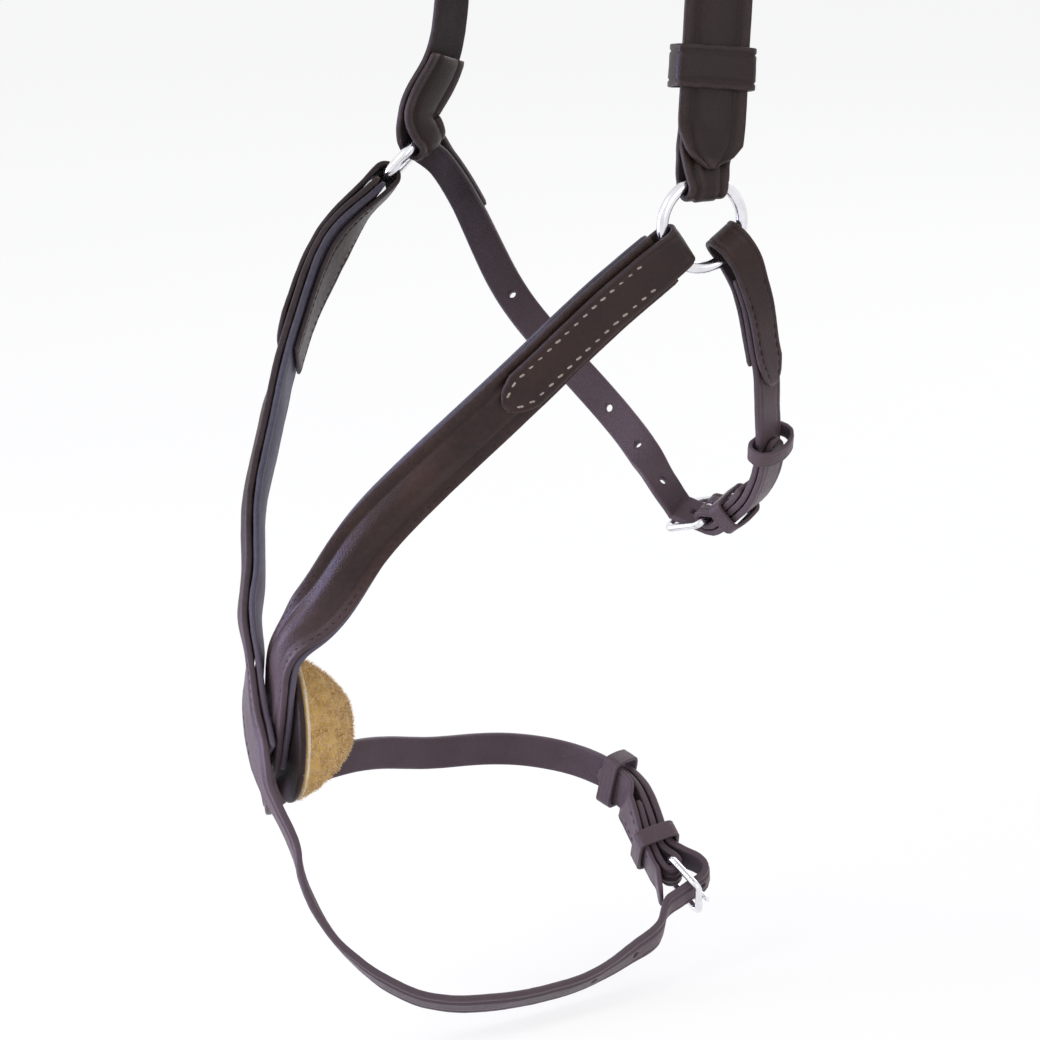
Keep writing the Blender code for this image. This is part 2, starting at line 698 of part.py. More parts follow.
jawShares = (
    (1.067, 0.425, 0.173), (1.085, 0.495, 0.270), (1.096, 0.535, 0.364), (1.096, 0.600, 0.459),
    (1.074, 0.658, 0.556), (1.010, 0.798, 0.680), (0.926, 0.918, 0.790), (0.809, 0.998, 0.895),
    (0.690, 1.015, 0.963))
jawFaces = (
    (0.985, -0.05, 0.0), (0.985, 0.10, 0.0), (0.985, 0.174, 0.0), (0.985, 0.18, -0.05),
    (0.970, 0.20, -0.15), (0.910, 0.25, -0.30), (0.838, 0.295, -0.44), (0.62, 0.36, -0.68),
    (0.30, 0.41, -0.84))
jawCrossShares = ((0.17, 0.812, 0.830), (-0.16, 0.615, 0.617), (-0.489, 0.418, 0.403))
jawCrossFace = vec(-0.532, 0.714, -0.457)
archShares = ((0.81, 0.545, 0.064), (0.745, 0.72, 0.322), (0.67, 0.85, 0.578), (0.54, 0.945, 0.774),
              (0.36, 1.0, 0.910))
farCheekShares = ((-0.851, 0.391, 1.0), (-0.834, 0.246, 0.60), (-0.849, 0.091, 0.314))


# Ways from a ring's centre to the middle of each fold round its wire
nearNoseWay = unit(-0.82 * nearLevel - vec(0.0, 0.0, 0.57))
nearJawWay = unit(0.788 * nearLevel - vec(0.0, 0.0, 0.616))
nearCheekWay = vec(0.0, 0.0, 1.0)
farNoseWay = unit(0.436 * farForward - 0.90 * farUp)
farCheekWay = unit(0.78 * farForward + 0.62 * farUp)
farJawWay = unit(0.62 * farUp - 0.78 * farForward)


def noseRoute(ring, way, side, turns, padShares, padTurns, padLevel):
    start = ring.start(way, RING_FOLD_WIDTH, frontFoldRise)
    places = [start, start + way * RING_LEAD]
    faces = [ring.face, ring.face]
    for (x, y, z), turn in zip(noseShares, turns):
        places.append(vec(side * x * HALF_SPAN, -y * NOSE_REACH, -z * NOSE_DROP))
        faces.append(turned(turn))
    for (h, v, n), turn in zip(padShares, padTurns):
        places.append(padSeat.place(-v * PAD_HALF_HEIGHT, n * padLevel, -h * PAD_HALF_WIDTH))
        faces.append(turned(turn))
    return places, faces


def chinPlace(x, y, z):
    depth = -y * NOSE_REACH if y > 0 else -y * CHIN_BACK
    return vec(x * CHIN_HALF_WIDTH, depth, -z * CHIN_DROP)


# Heights of the layers of a nose strap over its own middle line
frontOuter = FRONT_THICKNESS / 2 + LAYER_GAP + CHAPE_THICKNESS / 2
frontLining = -(FRONT_THICKNESS / 2 + LAYER_GAP + LINING_THICKNESS / 2)
frontInner = frontLining - LINING_THICKNESS / 2 - LAYER_GAP - CHAPE_THICKNESS / 2
frontFoldRise = (frontOuter + frontInner) / 2
nearPadLevel = DISC_THICKNESS / 2 + CLEARANCE + LINING_THICKNESS / 2 - frontLining
farPadLevel = nearPadLevel + FRONT_THICKNESS / 2 + CLEARANCE + LINING_THICKNESS / 2 - frontLining

places, faces = noseRoute(nearRing, nearNoseWay, 1.0, nearNoseTurns, nearPadShares, nearPadTurns,
                          nearPadLevel)
places += [chinPlace(*shares) for shares in farChinShares]
faces += [vec(*face) for face in farChinFaces]
places += [chinSeat.place(-0.6 * SPREAD_LENGTH), chinSeat.place(0.0)]
faces += [chinSeat.face, chinSeat.face]
nearNose = Route(places, faces, nearNoseWay, chinSeat.along,
                 spreads=((0.0, RING_SPREAD_LENGTH), (-SPREAD_LENGTH, None)))

places, faces = noseRoute(farRing, farNoseWay, -1.0, farNoseTurns, farPadShares, farPadTurns, farPadLevel)
places += [chinPlace(*shares) for shares in nearChinShares]
faces += [vec(*face) for face in nearChinFaces]
chinEntry = FRAME_LENGTH - FRAME_WIRE / 2 - FRONT_THICKNESS / 2 - BILLET_PLAY
places += [chinSeat.place(chinEntry, -0.69 * FRAME_LENGTH), chinSeat.place(chinEntry, -0.39 * FRAME_LENGTH)]
faces += [chinSeat.along, chinSeat.along]
farNose = Route(places, faces, farNoseWay, chinSeat.face, spreads=((0.0, RING_SPREAD_LENGTH),))


def frontPieces(side, ring, route, padLevel):
    narrow = route.nearest(padSeat.place(0.85 * PAD_HALF_HEIGHT, padLevel))
    shoulder = route.nearest(padSeat.place(0.45 * PAD_HALF_HEIGHT, padLevel))
    radius = ring.foldRadius(RING_FOLD_WIDTH, CHAPE_THICKNESS)
    extra = radius - (frontOuter - frontInner) / 2

    def opening(run):
        return extra * (1.0 - smooth(run / RING_SPREAD_LENGTH))

    fullHalf = CHAPE_WIDTH / 2
    foldHalf = RING_FOLD_WIDTH / 2
    pairs, marks = pointed(CHAPE_LENGTH, 0.0, fullHalf)
    rows = route.rows(CHAPE_LENGTH, 0.0, lambda run: frontOuter + opening(run),
                      steps((0.0, foldHalf), (RING_SPREAD_LENGTH, fullHalf), *pairs), marks)
    rows += fold(route, 0.0, frontFoldRise, radius, -1.0, foldHalf)
    rows += route.rows(0.0, CHAPE_INNER_LENGTH, lambda run: frontInner - opening(run),
                       steps((0.0, foldHalf), (RING_SPREAD_LENGTH, fullHalf)))
    ribbon(side + "_ring_chape", rows, CHAPE_THICKNESS)
    rows = route.rows(STRAP_START, shoulder, level(frontLining), level(FRONT_WIDTH / 2))
    ribbon(side + "_front_lining", rows, LINING_THICKNESS, LINING)
    return steps((shoulder, FRONT_WIDTH / 2), (narrow, NARROW_WIDTH / 2)), (shoulder, narrow)


width, shoulders = frontPieces("near", nearRing, nearNose, nearPadLevel)
length = nearNose.length
opening = chinBuckle.opening(length)
half = NARROW_WIDTH / 2
rows = nearNose.rows(STRAP_START, length, opening, width, shoulders)
rows += fold(nearNose, length, chinBuckle.heel, chinBuckle.fold, 1.0, half)
rows += nearNose.rows(length, length - BUCKLE_LEG, lambda run: -chinBuckle.pitch - opening(run), level(half))
nearFront = ribbon("near_front_strap", rows, FRONT_THICKNESS)
chinBuckle.chapeSlot("chin_chape_slot", nearFront)

width, shoulders = frontPieces("far", farRing, farNose, farPadLevel)
rows = farNose.rows(STRAP_START, farNose.length, level(0.0), width, shoulders)
bulgeShares = ((0.0, -0.10), (0.0, 0.18), (-0.03, 0.32), (-0.12, 0.43), (-0.25, 0.49), (-0.40, 0.49),
               (-0.56, 0.44), (-0.70, 0.37))
for run, rise in bulgeShares:
    rows.append(chinSeat.row(chinEntry + run * FRAME_LENGTH, rise * FRAME_LENGTH, half, -1.0))
tip = length - CHIN_TIP_BACK
pairs, marks = pointed(tip, length, half)


def chinBilletRise(run):
    behind = (length - run) / SPREAD_LENGTH
    return chinBuckle.billetPitch + opening(run) + 0.10 * SPREAD_LENGTH * (1.0 - smooth(behind / 1.2))


rows += flipped(nearNose.rows(length - 0.3 * SPREAD_LENGTH, tip, chinBilletRise, steps(*pairs), marks))
farFront = ribbon("far_front_strap", rows, FRONT_THICKNESS)
tongueHeight = chinBuckle.tongueRise(chinEntry)
slotRises = (tongueHeight - TONGUE_WIRE / 2 - TONGUE_PLAY, tongueHeight + TONGUE_WIRE / 2 + SWING_ROOM)
slotRuns = (chinEntry - FRONT_THICKNESS, chinEntry + FRONT_THICKNESS)
cut(farFront, blockCutter("chin_billet_slot", chinSeat, slotRuns, slotRises, chinBuckle.slotWidth()))
spares = [farNose.seat(farNose.length - CHIN_HOLE_PITCH * (0.55 + count)) for count in range(3)]
cut(farFront, holeCutter("chin_holes", spares, FRONT_THICKNESS))


# Safe: the leather behind the chin buckle, from under the runner to past the heel bar

def safe():
    outside = -(FRONT_THICKNESS / 2 + LAYER_GAP + SAFE_THICKNESS / 2)
    inside = outside - chinBuckle.pitch
    begin = length - CHIN_RUNNER_BACK - KEEPER_LENGTH
    end = length + SAFE_OVERHANG
    pairs = ((begin, outside), (length - BUCKLE_LEG - 0.7 * SPREAD_LENGTH, outside),
             (length - BUCKLE_LEG - 0.2 * SPREAD_LENGTH, inside), (length, inside),
             (end, inside - 0.5 * SPREAD_LENGTH))
    heights = steps(*pairs)
    wide = SAFE_WIDTH / 2
    corner = length + SAFE_OVERHANG / 2
    ends, marks = pointed(begin, length, wide)
    widths = steps(*ends, (corner, wide), (end, 0.6 * wide))
    marks = marks + [pair[0] for pair in pairs] + [corner]

    def height(run):
        spread = opening(run) if run <= length else chinBuckle.spread
        return heights(run) - 1.15 * spread

    ribbon("chin_buckle_safe", nearNose.rows(begin, end, height, widths, marks), SAFE_THICKNESS)
    return inside - SAFE_THICKNESS / 2, outside - SAFE_THICKNESS / 2


safeLow, safeHigh = safe()
billetTop = chinBuckle.billetPitch + FRONT_THICKNESS / 2
keeper("chin_keeper_lower", nearNose.seat(length - FIXED_KEEPER_BACK), safeLow, billetTop, SAFE_WIDTH / 2,
       KEEPER_LENGTH)
keeper("chin_keeper_upper", nearNose.seat(length - CHIN_RUNNER_BACK), safeHigh, billetTop, SAFE_WIDTH / 2,
       KEEPER_LENGTH)


# Cheek strap on the near side, folded round the ring and round its buckle

headTip = HEAD_TIP_RISE - RING_RADIUS + nearRing.sag(RING_FOLD_WIDTH) / 2
start = nearRing.start(nearCheekWay, RING_FOLD_WIDTH, -cheekPitch / 2)
places = [start, start + nearCheekWay * RING_LEAD, cheekSeat.place(-0.70 * HEAD_BUCKLE_RISE),
          cheekSeat.place(-0.55 * HEAD_BUCKLE_RISE), cheekSeat.place(-0.35 * HEAD_BUCKLE_RISE),
          cheekSeat.place(-0.17 * HEAD_BUCKLE_RISE), cheekSeat.place(0.0)]
faces = [nearRing.face, nearRing.face] + [cheekSeat.face] * 5
cheek = Route(places, faces, nearCheekWay, cheekSeat.along,
              spreads=((0.0, RING_SPREAD_LENGTH), (-SPREAD_LENGTH, None)))
cheekLength = cheek.length
cheekRadius = nearRing.foldRadius(RING_FOLD_WIDTH, CHEEK_THICKNESS)


def ringOpening(run):
    return (cheekRadius - cheekPitch / 2) * (1.0 - smooth(run / RING_SPREAD_LENGTH))


heelOpening = cheekBuckle.opening(cheekLength)
half = CHEEK_WIDTH / 2
ringHalf = RING_FOLD_WIDTH / 2
width = steps((0.0, ringHalf), (RING_SPREAD_LENGTH, half))


def cheekOuter(run):
    return ringOpening(run) + heelOpening(run)


def cheekInner(run):
    return -cheekPitch - cheekOuter(run)


rows = cheek.rows(cheekLength - BUCKLE_LEG, cheekLength, cheekInner, level(half))
rows += fold(cheek, cheekLength, cheekBuckle.heel, cheekBuckle.fold, 1.0, half)[::-1]
rows += cheek.rows(cheekLength, 0.0, cheekOuter, width)
rows += fold(cheek, 0.0, -cheekPitch / 2, cheekRadius, -1.0, ringHalf)
rows += cheek.rows(0.0, CHEEK_RETURN_LENGTH, cheekInner, width)
cheekStrap = ribbon("near_cheek_strap", rows, CHEEK_THICKNESS)
cheekBuckle.chapeSlot("cheek_chape_slot", cheekStrap)


# Headstrap, from its point on the near side over the poll to the far ring

def headPlace(x, y, z):
    return vec(x * HALF_SPAN, y * POLL_BACK, z * HEAD_BUCKLE_RISE)


def archPlace(x, y, z):
    # Its height is a share of the rise from above the cheek buckle to the poll
    base = HEAD_BUCKLE_RISE + 2.0 * FRAME_LENGTH
    return vec(x * HALF_SPAN, y * POLL_BACK, base + z * (POLL_RISE - base))


places = [cheekSeat.place(FRAME_LENGTH), cheekSeat.place(2.0 * FRAME_LENGTH)]
faces = [cheekSeat.face, cheekSeat.face]
nearFaces = (vec(0.95, -0.3, 0.1), vec(0.95, -0.22, 0.2), vec(0.9, -0.12, 0.42), vec(0.75, -0.05, 0.66),
             vec(0.45, 0.0, 0.9))
for shares, face in zip(archShares, nearFaces):
    places.append(archPlace(*shares))
    faces.append(face)
for side in (1.0, -1.0):
    places.append(vec(side * POLL_FLAT / 2, POLL_BACK, POLL_RISE))
    faces.append(vec(0.0, 0.0, 1.0))
for shares, face in zip(archShares[::-1], nearFaces[::-1]):
    places.append(archPlace(*shares) * vec(-1.0, 1.0, 1.0))
    faces.append(face * vec(-1.0, 1.0, 1.0))
farCheekFaces = (turned(-70.0), turned(-71.0), turned(-72.0))
for shares, face in zip(farCheekShares, farCheekFaces):
    places.append(headPlace(*shares))
    faces.append(face)
farCheekSide = np.cross(farRing.face, farCheekWay)
farCheekUp = unit(nearCheekWay - (nearCheekWay @ farCheekSide) * farCheekSide)
farCheekFace = np.cross(farCheekSide, farCheekUp)
if farCheekFace[0] > 0:
    farCheekFace = -farCheekFace
end = farRing.start(farCheekWay, RING_FOLD_WIDTH, -cheekPitch / 2, farCheekFace)
places += [end + farCheekUp * RING_LEAD, end]
faces += [farCheekFace, farCheekFace]
flats = (2 + len(archShares), 3 + len(archShares))
head = Route(places, faces, cheekSeat.along, -farCheekUp, pins=flats, spreads=((-RING_SPREAD_LENGTH, None),))
farBegin = head.nearest(headPlace(*farCheekShares[0]))
headHalf = HEAD_WIDTH / 2


def farOpening(run):
    return (cheekRadius - cheekPitch / 2) * (1.0 - smooth((head.length - run) / RING_SPREAD_LENGTH))


pairs, marks = pointed(headTip, cheekLength, headHalf)
rows = cheek.rows(headTip, cheekLength, lambda run: cheekBuckle.billetPitch + 1.06 * cheekOuter(run),
                  steps(*pairs), marks)[:-1]
rows += cheekBuckle.flatBillet(headHalf)
width = steps((farBegin - SPREAD_LENGTH, headHalf), (farBegin, half),
              (head.length - RING_SPREAD_LENGTH, half), (head.length, ringHalf))
rows += head.rows(0.0, head.length, farOpening, width, (farBegin - SPREAD_LENGTH, farBegin))
rows += fold(head, head.length, -cheekPitch / 2, cheekRadius, 1.0, ringHalf)
rows += head.rows(head.length, head.length - RETURN_LENGTH, lambda run: -cheekPitch - farOpening(run), width)
headstrap = ribbon("headstrap", rows, CHEEK_THICKNESS)
cheekBuckle.flatSlot("head_billet_slot", headstrap)
spares = [head.seat(HEAD_HOLE_PITCH * (count + 0.5)) for count in range(2)]
cut(headstrap, holeCutter("head_holes", spares, CHEEK_THICKNESS))

middle = head.nearest(vec(0.0, POLL_BACK, POLL_RISE))
padding = 0.34 * POLL_RISE
under = -(CHEEK_THICKNESS / 2 + LAYER_GAP + LINING_THICKNESS / 2)
rows = head.rows(middle - padding, middle + padding, level(under), level(headHalf))
ribbon("headstrap_lining", rows, LINING_THICKNESS, LINING)

cheekLow = -cheekPitch - CHEEK_THICKNESS / 2
cheekHigh = cheekBuckle.billetPitch + CHEEK_THICKNESS / 2
keeper("cheek_keeper_upper", cheek.seat(cheekLength - HEAD_FIXED_KEEPER_BACK), cheekLow, cheekHigh, headHalf,
       KEEPER_LENGTH)
keeper("cheek_keeper_lower", cheek.seat(cheekLength - HEAD_RUNNER_BACK), cheekLow, cheekHigh, headHalf,
       HEAD_KEEPER_LENGTH)


# Jaw strap: a chape on the near ring, its buckle, and the long strap from the far ring

jawLeave = unit(0.616 * nearLevel - vec(0.0, 0.0, 0.788))
slack = NARROW_WIDTH / 4 * np.linalg.norm(np.cross(nearJawWay, jawLeave))
start = nearRing.start(nearJawWay, NARROW_WIDTH, 0.0) - jawLeave * slack
places = [start, start + jawLeave * RING_LEAD / 2]
faces = [nearRing.face, nearRing.face]
for (x, y, z), face in zip(jawShares, jawFaces):
    places.append(vec(x * HALF_SPAN, y * JAW_BACK, -z * JAW_DROP))
    faces.append(vec(*face))
places.append(jawSeat.place(0.0))
faces.append(jawSeat.face)
jaw = Route(places, faces, jawLeave, jawSeat.along,
            spreads=((0.0, JAW_SPREAD_LENGTH), (-SPREAD_LENGTH, None)))
jawLength = jaw.length
half = NARROW_WIDTH / 2
rollRadius = JAW_ROLL_RADIUS + CHAPE_THICKNESS / 2
jawLeg = (JAW_THICKNESS + CHAPE_THICKNESS) / 2 + LAYER_GAP
jawOpening = jawBuckle.opening(jawLength)


def rollOpening(run):
    return (rollRadius - jawLeg) * (1.0 - smooth(run / JAW_SPREAD_LENGTH))


pairs, marks = pointed(JAW_CHAPE_LENGTH, 0.0, half)
rows = jaw.rows(JAW_CHAPE_LENGTH, 0.0, lambda run: jawLeg + rollOpening(run), steps(*pairs), marks)
rows += fold(jaw, 0.0, 0.0, rollRadius, -1.0, half)
rows += jaw.rows(0.0, JAW_CHAPE_INNER, lambda run: -jawLeg - rollOpening(run), level(half))
ribbon("jaw_ring_chape", rows, CHAPE_THICKNESS)

rows = jaw.rows(JAW_STRAP_START, jawLength, jawOpening, level(half))
rows += fold(jaw, jawLength, jawBuckle.heel, jawBuckle.fold, 1.0, half)
rows += jaw.rows(jawLength, jawLength - BUCKLE_LEG, lambda run: -jawBuckle.pitch - jawOpening(run),
                 level(half))
jawChape = ribbon("jaw_chape_strap", rows, JAW_THICKNESS)
jawBuckle.chapeSlot("jaw_chape_slot", jawChape)

billet = jawBuckle.flatBillet(half)
slope = jawBuckle.slope
places = [jawSeat.place(jawBuckle.landing + 0.10 * FRAME_LENGTH, -0.10 * slope * FRAME_LENGTH),
          jawSeat.place(jawBuckle.landing + 0.27 * FRAME_LENGTH, -0.50 * FRAME_LENGTH)]
faces = [jawSeat.face + slope * jawSeat.along, jawSeat.face + jawSeat.along * 1.6]
for x, y, z in jawCrossShares:
    places.append(vec(x * HALF_SPAN, y * JAW_BACK, -z * JAW_DROP))
    faces.append(jawCrossFace)
jawPitch = JAW_THICKNESS + LAYER_GAP
farJawSide = np.cross(farRing.face, farJawWay)
crossWay = vec(-0.51, -0.38, 0.78)
farJawLeave = unit(crossWay - (crossWay @ farJawSide) * farJawSide)
farJawFace = np.cross(farJawSide, farJawLeave)
if farJawFace @ jawCrossFace < 0:
    farJawFace = -farJawFace
end = farRing.start(farJawWay, NARROW_WIDTH, jawPitch / 2, farJawFace)
places += [end - farJawLeave * RING_LEAD, end]
faces += [farJawFace, farJawFace]
cross = Route(places, faces, places[1] - places[0], farJawLeave, spreads=((-RING_SPREAD_LENGTH, None),))
loopRadius = farRing.foldRadius(NARROW_WIDTH, JAW_THICKNESS)


def loopOpening(run):
    return (loopRadius - jawPitch / 2) * (1.0 - smooth((cross.length - run) / RING_SPREAD_LENGTH))


tip = jawLength - JAW_TIP_BACK
pairs, marks = pointed(tip, jawLength, half)
rows = jaw.rows(tip, jawLength, lambda run: jawBuckle.billetPitch + 1.06 * jawOpening(run),
                steps(*pairs), marks)[:-1]
rows += billet
rows += cross.rows(0.0, cross.length, lambda run: -loopOpening(run), level(half))
rows += fold(cross, cross.length, jawPitch / 2, loopRadius, 1.0, half)[::-1]
rows += cross.rows(cross.length, cross.length - RETURN_LENGTH, lambda run: jawPitch + loopOpening(run),
                   level(half))
jawStrap = ribbon("jaw_strap", rows, JAW_THICKNESS)
jawBuckle.flatSlot("jaw_billet_slot", jawStrap)
spares = [cross.seat(JAW_HOLE_PITCH * (count + 0.6)) for count in range(6)]
cut(jawStrap, holeCutter("jaw_holes", spares, JAW_THICKNESS))

jawLow = -jawBuckle.pitch - JAW_THICKNESS / 2
jawHigh = jawBuckle.billetPitch + JAW_THICKNESS / 2
keeper("jaw_keeper_lower", jaw.seat(jawLength - FIXED_KEEPER_BACK), jawLow, jawHigh, half, KEEPER_LENGTH)
keeper("jaw_keeper_upper", jaw.seat(jawLength - JAW_RUNNER_BACK), -JAW_THICKNESS / 2, jawHigh, half,
       KEEPER_LENGTH)
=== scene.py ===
# Figure eight noseband: the look of every leather, wire and fleece piece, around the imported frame
import math

import bmesh
import bpy
import numpy as np
from mathutils import Matrix, Vector, noise


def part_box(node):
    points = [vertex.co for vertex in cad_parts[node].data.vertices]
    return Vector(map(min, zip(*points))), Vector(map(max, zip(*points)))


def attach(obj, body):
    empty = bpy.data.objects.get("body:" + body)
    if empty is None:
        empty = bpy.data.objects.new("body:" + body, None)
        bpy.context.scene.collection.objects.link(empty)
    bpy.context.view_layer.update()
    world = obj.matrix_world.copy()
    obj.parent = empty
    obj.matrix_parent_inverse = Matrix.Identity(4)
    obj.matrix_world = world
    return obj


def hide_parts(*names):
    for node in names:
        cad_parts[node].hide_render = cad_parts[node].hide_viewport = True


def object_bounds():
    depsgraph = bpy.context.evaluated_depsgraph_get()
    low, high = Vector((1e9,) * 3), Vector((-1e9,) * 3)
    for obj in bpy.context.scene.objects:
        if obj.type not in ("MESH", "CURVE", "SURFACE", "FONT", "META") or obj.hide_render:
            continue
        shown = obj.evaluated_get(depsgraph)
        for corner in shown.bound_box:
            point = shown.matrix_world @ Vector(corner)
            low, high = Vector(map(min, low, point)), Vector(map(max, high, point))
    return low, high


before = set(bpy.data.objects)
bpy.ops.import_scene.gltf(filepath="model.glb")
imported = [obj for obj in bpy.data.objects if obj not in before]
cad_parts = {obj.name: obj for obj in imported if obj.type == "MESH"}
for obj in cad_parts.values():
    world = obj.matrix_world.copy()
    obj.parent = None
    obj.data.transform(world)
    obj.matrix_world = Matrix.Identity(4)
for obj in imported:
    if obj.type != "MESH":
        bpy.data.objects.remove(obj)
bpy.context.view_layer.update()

print("frame loaded,", len(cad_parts), "nodes")

# What the whole noseband is laid out from, in metres from the line between the rings
layout = {
    "halfSpan": 0.094, "noseReach": 0.125, "noseDrop": 0.194, "chinHalfWidth": 0.055, "chinDrop": 0.300,
    "chinBack": 0.041, "jawBack": 0.040, "jawDrop": 0.124, "pollRise": 0.325, "pollBack": 0.046,
    "pollFlat": 0.016, "buckleRise": 0.112, "padTurn": -18.0, "ringTurn": 78.0}
gaps = {"touch": 0.0003, "layer": 0.0005, "spread": 0.010, "ringSpread": 0.012}
fine = {"spline": 0.0005, "step": 0.0017, "foldSteps": 20}
ringLow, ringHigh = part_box("near_ring")
shift = (np.array(ringLow) + np.array(ringHigh)) / 2 - np.array((layout["halfSpan"], 0.0, 0.0))


# Vectors and smooth lines

def vec(*parts):
    return np.array(parts, float)


def unit(vector):  # of one vector, or of each row of a table
    vector = np.asarray(vector, float)
    return vector / np.linalg.norm(vector, axis=-1, keepdims=True)


def turned(degrees):  # level, so many degrees from straight ahead to the near side
    return vec(math.sin(math.radians(degrees)), -math.cos(math.radians(degrees)), 0.0)


def smooth(share):
    share = min(max(share, 0.0), 1.0)
    return share * share * (3.0 - 2.0 * share)


def hump(run, start, rise, fall, end):  # 0 before start, 1 between rise and fall, 0 after end
    return smooth((run - start) / (rise - start)) * smooth((end - run) / (end - fall))


def level(value):
    return lambda run: value


def steps(*pairs):
    runs, values = zip(*pairs)
    return lambda run: float(np.interp(run, runs, values))


def parted(height, reach):  # how far folded leathers stand apart, from the fold on
    return lambda run: height * (1.0 - smooth(run / reach))


def distances(points):
    return np.concatenate([[0.0], np.cumsum(np.linalg.norm(np.diff(points, axis=0), axis=1))])


def between(run, runs, table):
    return np.array([np.interp(run, runs, column) for column in table.T])


def directions(points, closed):  # the way ahead at each point of a line or a loop
    before, after = np.roll(points, 1, axis=0), np.roll(points, -1, axis=0)
    if not closed:
        before[0], after[-1] = points[0], points[-1]
    return unit(after - before)


class Cubic:  # cubic curve through rows of values
    def __init__(self, knots, values, first=None, last=None):
        count = len(knots)
        spans = np.diff(knots)
        system = np.eye(count)
        wanted = np.zeros_like(values)
        for i in range(1, count - 1):
            system[i, i - 1:i + 2] = spans[i - 1], 2 * (spans[i - 1] + spans[i]), spans[i]
            wanted[i] = 6 * ((values[i + 1] - values[i]) / spans[i] - (values[i] - values[i - 1]) / spans[i - 1])
        if first is not None:
            system[0, :2] = 2 * spans[0], spans[0]
            wanted[0] = 6 * ((values[1] - values[0]) / spans[0] - first)
            system[-1, -2:] = spans[-1], 2 * spans[-1]
            wanted[-1] = 6 * (last - (values[-1] - values[-2]) / spans[-1])
        self.bends = np.linalg.solve(system, wanted)
        self.knots, self.values = knots, values

    def at(self, places):
        spans = np.clip(np.searchsorted(self.knots, places) - 1, 0, len(self.knots) - 2)
        low = self.knots[spans]
        gap = self.knots[spans + 1] - low
        after = ((places - low) / gap)[:, None]
        before = 1.0 - after
        line = before * self.values[spans] + after * self.values[spans + 1]
        return line + (gap ** 2 / 6)[:, None] * ((before ** 3 - before) * self.bends[spans]
                                                 + (after ** 3 - after) * self.bends[spans + 1])


class Seat:  # straight axes: along a strap, out of its face, and across it
    def __init__(self, origin, along, face):
        self.origin = np.asarray(origin, float)
        self.along = unit(along)
        self.face = unit(face - (face @ self.along) * self.along)
        self.across = np.cross(self.along, self.face)

    def place(self, run, rise=0.0, side=0.0):
        return self.origin + self.along * run + self.face * rise + self.across * side

    def row(self, run, rise, half, flip=1.0):
        return self.place(run, rise), self.across * flip, half

    def moved(self, run, rise=0.0):
        return Seat(self.place(run, rise), self.along, self.face)

    def matrix(self):
        axes = np.column_stack((self.along, -self.across, self.face, self.origin + shift))
        return Matrix(np.vstack((axes, (0.0, 0.0, 0.0, 1.0))).tolist())


class Route:  # a strap's middle line, with the way that its outer face looks
    def __init__(self, stops, first, last, top=None):
        places = np.array([place for place, face in stops])
        knots = distances(places).round(9)
        count = int(round(knots[-1] / fine["spline"])) + 1
        samples = np.unique(np.concatenate([np.linspace(0.0, knots[-1], count).round(9), knots]))
        points = Cubic(knots, places, unit(first), unit(last)).at(samples)
        along = np.gradient(points, samples, axis=0)
        along[0], along[-1] = first, last
        along = unit(along)
        looks = Cubic(knots, np.array([unit(face) for place, face in stops])).at(samples)
        if top is not None:
            points[:, 2] = np.minimum(points[:, 2], top)
        self.runs = distances(points)
        self.points = points
        self.looks = unit(looks - (looks * along).sum(axis=1)[:, None] * along)
        self.sides = np.cross(along, self.looks)
        self.first, self.last = along[0], along[-1]
        self.length = self.runs[-1]

    def frame(self, run):
        inside = min(max(run, 0.0), self.length)
        parts = [between(inside, self.runs, table) for table in (self.points, self.looks, self.sides)]
        parts[0] = parts[0] + (self.first if run < 0 else self.last) * (run - inside)
        return parts

    def place(self, run, rise=0.0, side=0.0):
        spot, look, across = self.frame(run)
        return spot + look * rise + across * side

    def row(self, run, rise, half, flip=1.0):
        spot, look, across = self.frame(run)
        return spot + look * rise, unit(across) * flip, half

    def rows(self, start, end, rise, half, flip=1.0):  # sections, either way along the route
        count = max(2, int(math.ceil(abs(end - start) / fine["step"])) + 1)
        return [self.row(run, rise(run), half(run), flip) for run in np.linspace(start, end, count)]

    def seat(self, run):
        reach = keeperSize["length"] / 2
        before, after = self.place(run - reach), self.place(run + reach)
        return Seat((before + after) / 4 + self.place(run) / 2, after - before, self.frame(run)[1])

    def nearest(self, spot):
        return self.runs[int(np.argmin(np.linalg.norm(self.points - spot, axis=1)))]


def fold(base, run, rise, radius, side, half):  # sections round a bar
    angles = [math.pi / 2 - math.pi * step / fine["foldSteps"] for step in range(1, fine["foldSteps"])]
    return [base.row(run + side * radius * math.cos(angle), rise + radius * math.sin(angle), half)
            for angle in angles]


point = {"tip": 0.004, "length": 0.010, "shoulder": 0.4, "shoulderWidth": 0.72}


def pointed(start, end, half):
    length = point["length"] if end > start else -point["length"]
    return sorted([(start, point["tip"] / 2), (start + length * point["shoulder"], half * point["shoulderWidth"]),
                   (start + length, half)])


def bridge(before, middle, after):  # smooth sections through a few rough ones
    rows = [before[-1]] + middle + [after[0]]
    centres = np.array([row[0] for row in rows])
    knots = distances(centres)
    places = np.linspace(0.0, knots[-1], int(knots[-1] / fine["step"]) + 2)[1:-1]
    line = Cubic(knots, centres, unit(before[-1][0] - before[-2][0]), unit(after[1][0] - after[0][0]))
    sides = Cubic(knots, np.array([row[1] for row in rows])).at(places)
    return [(centre, unit(side), middle[0][2]) for centre, side in zip(line.at(places), sides)]


# Materials

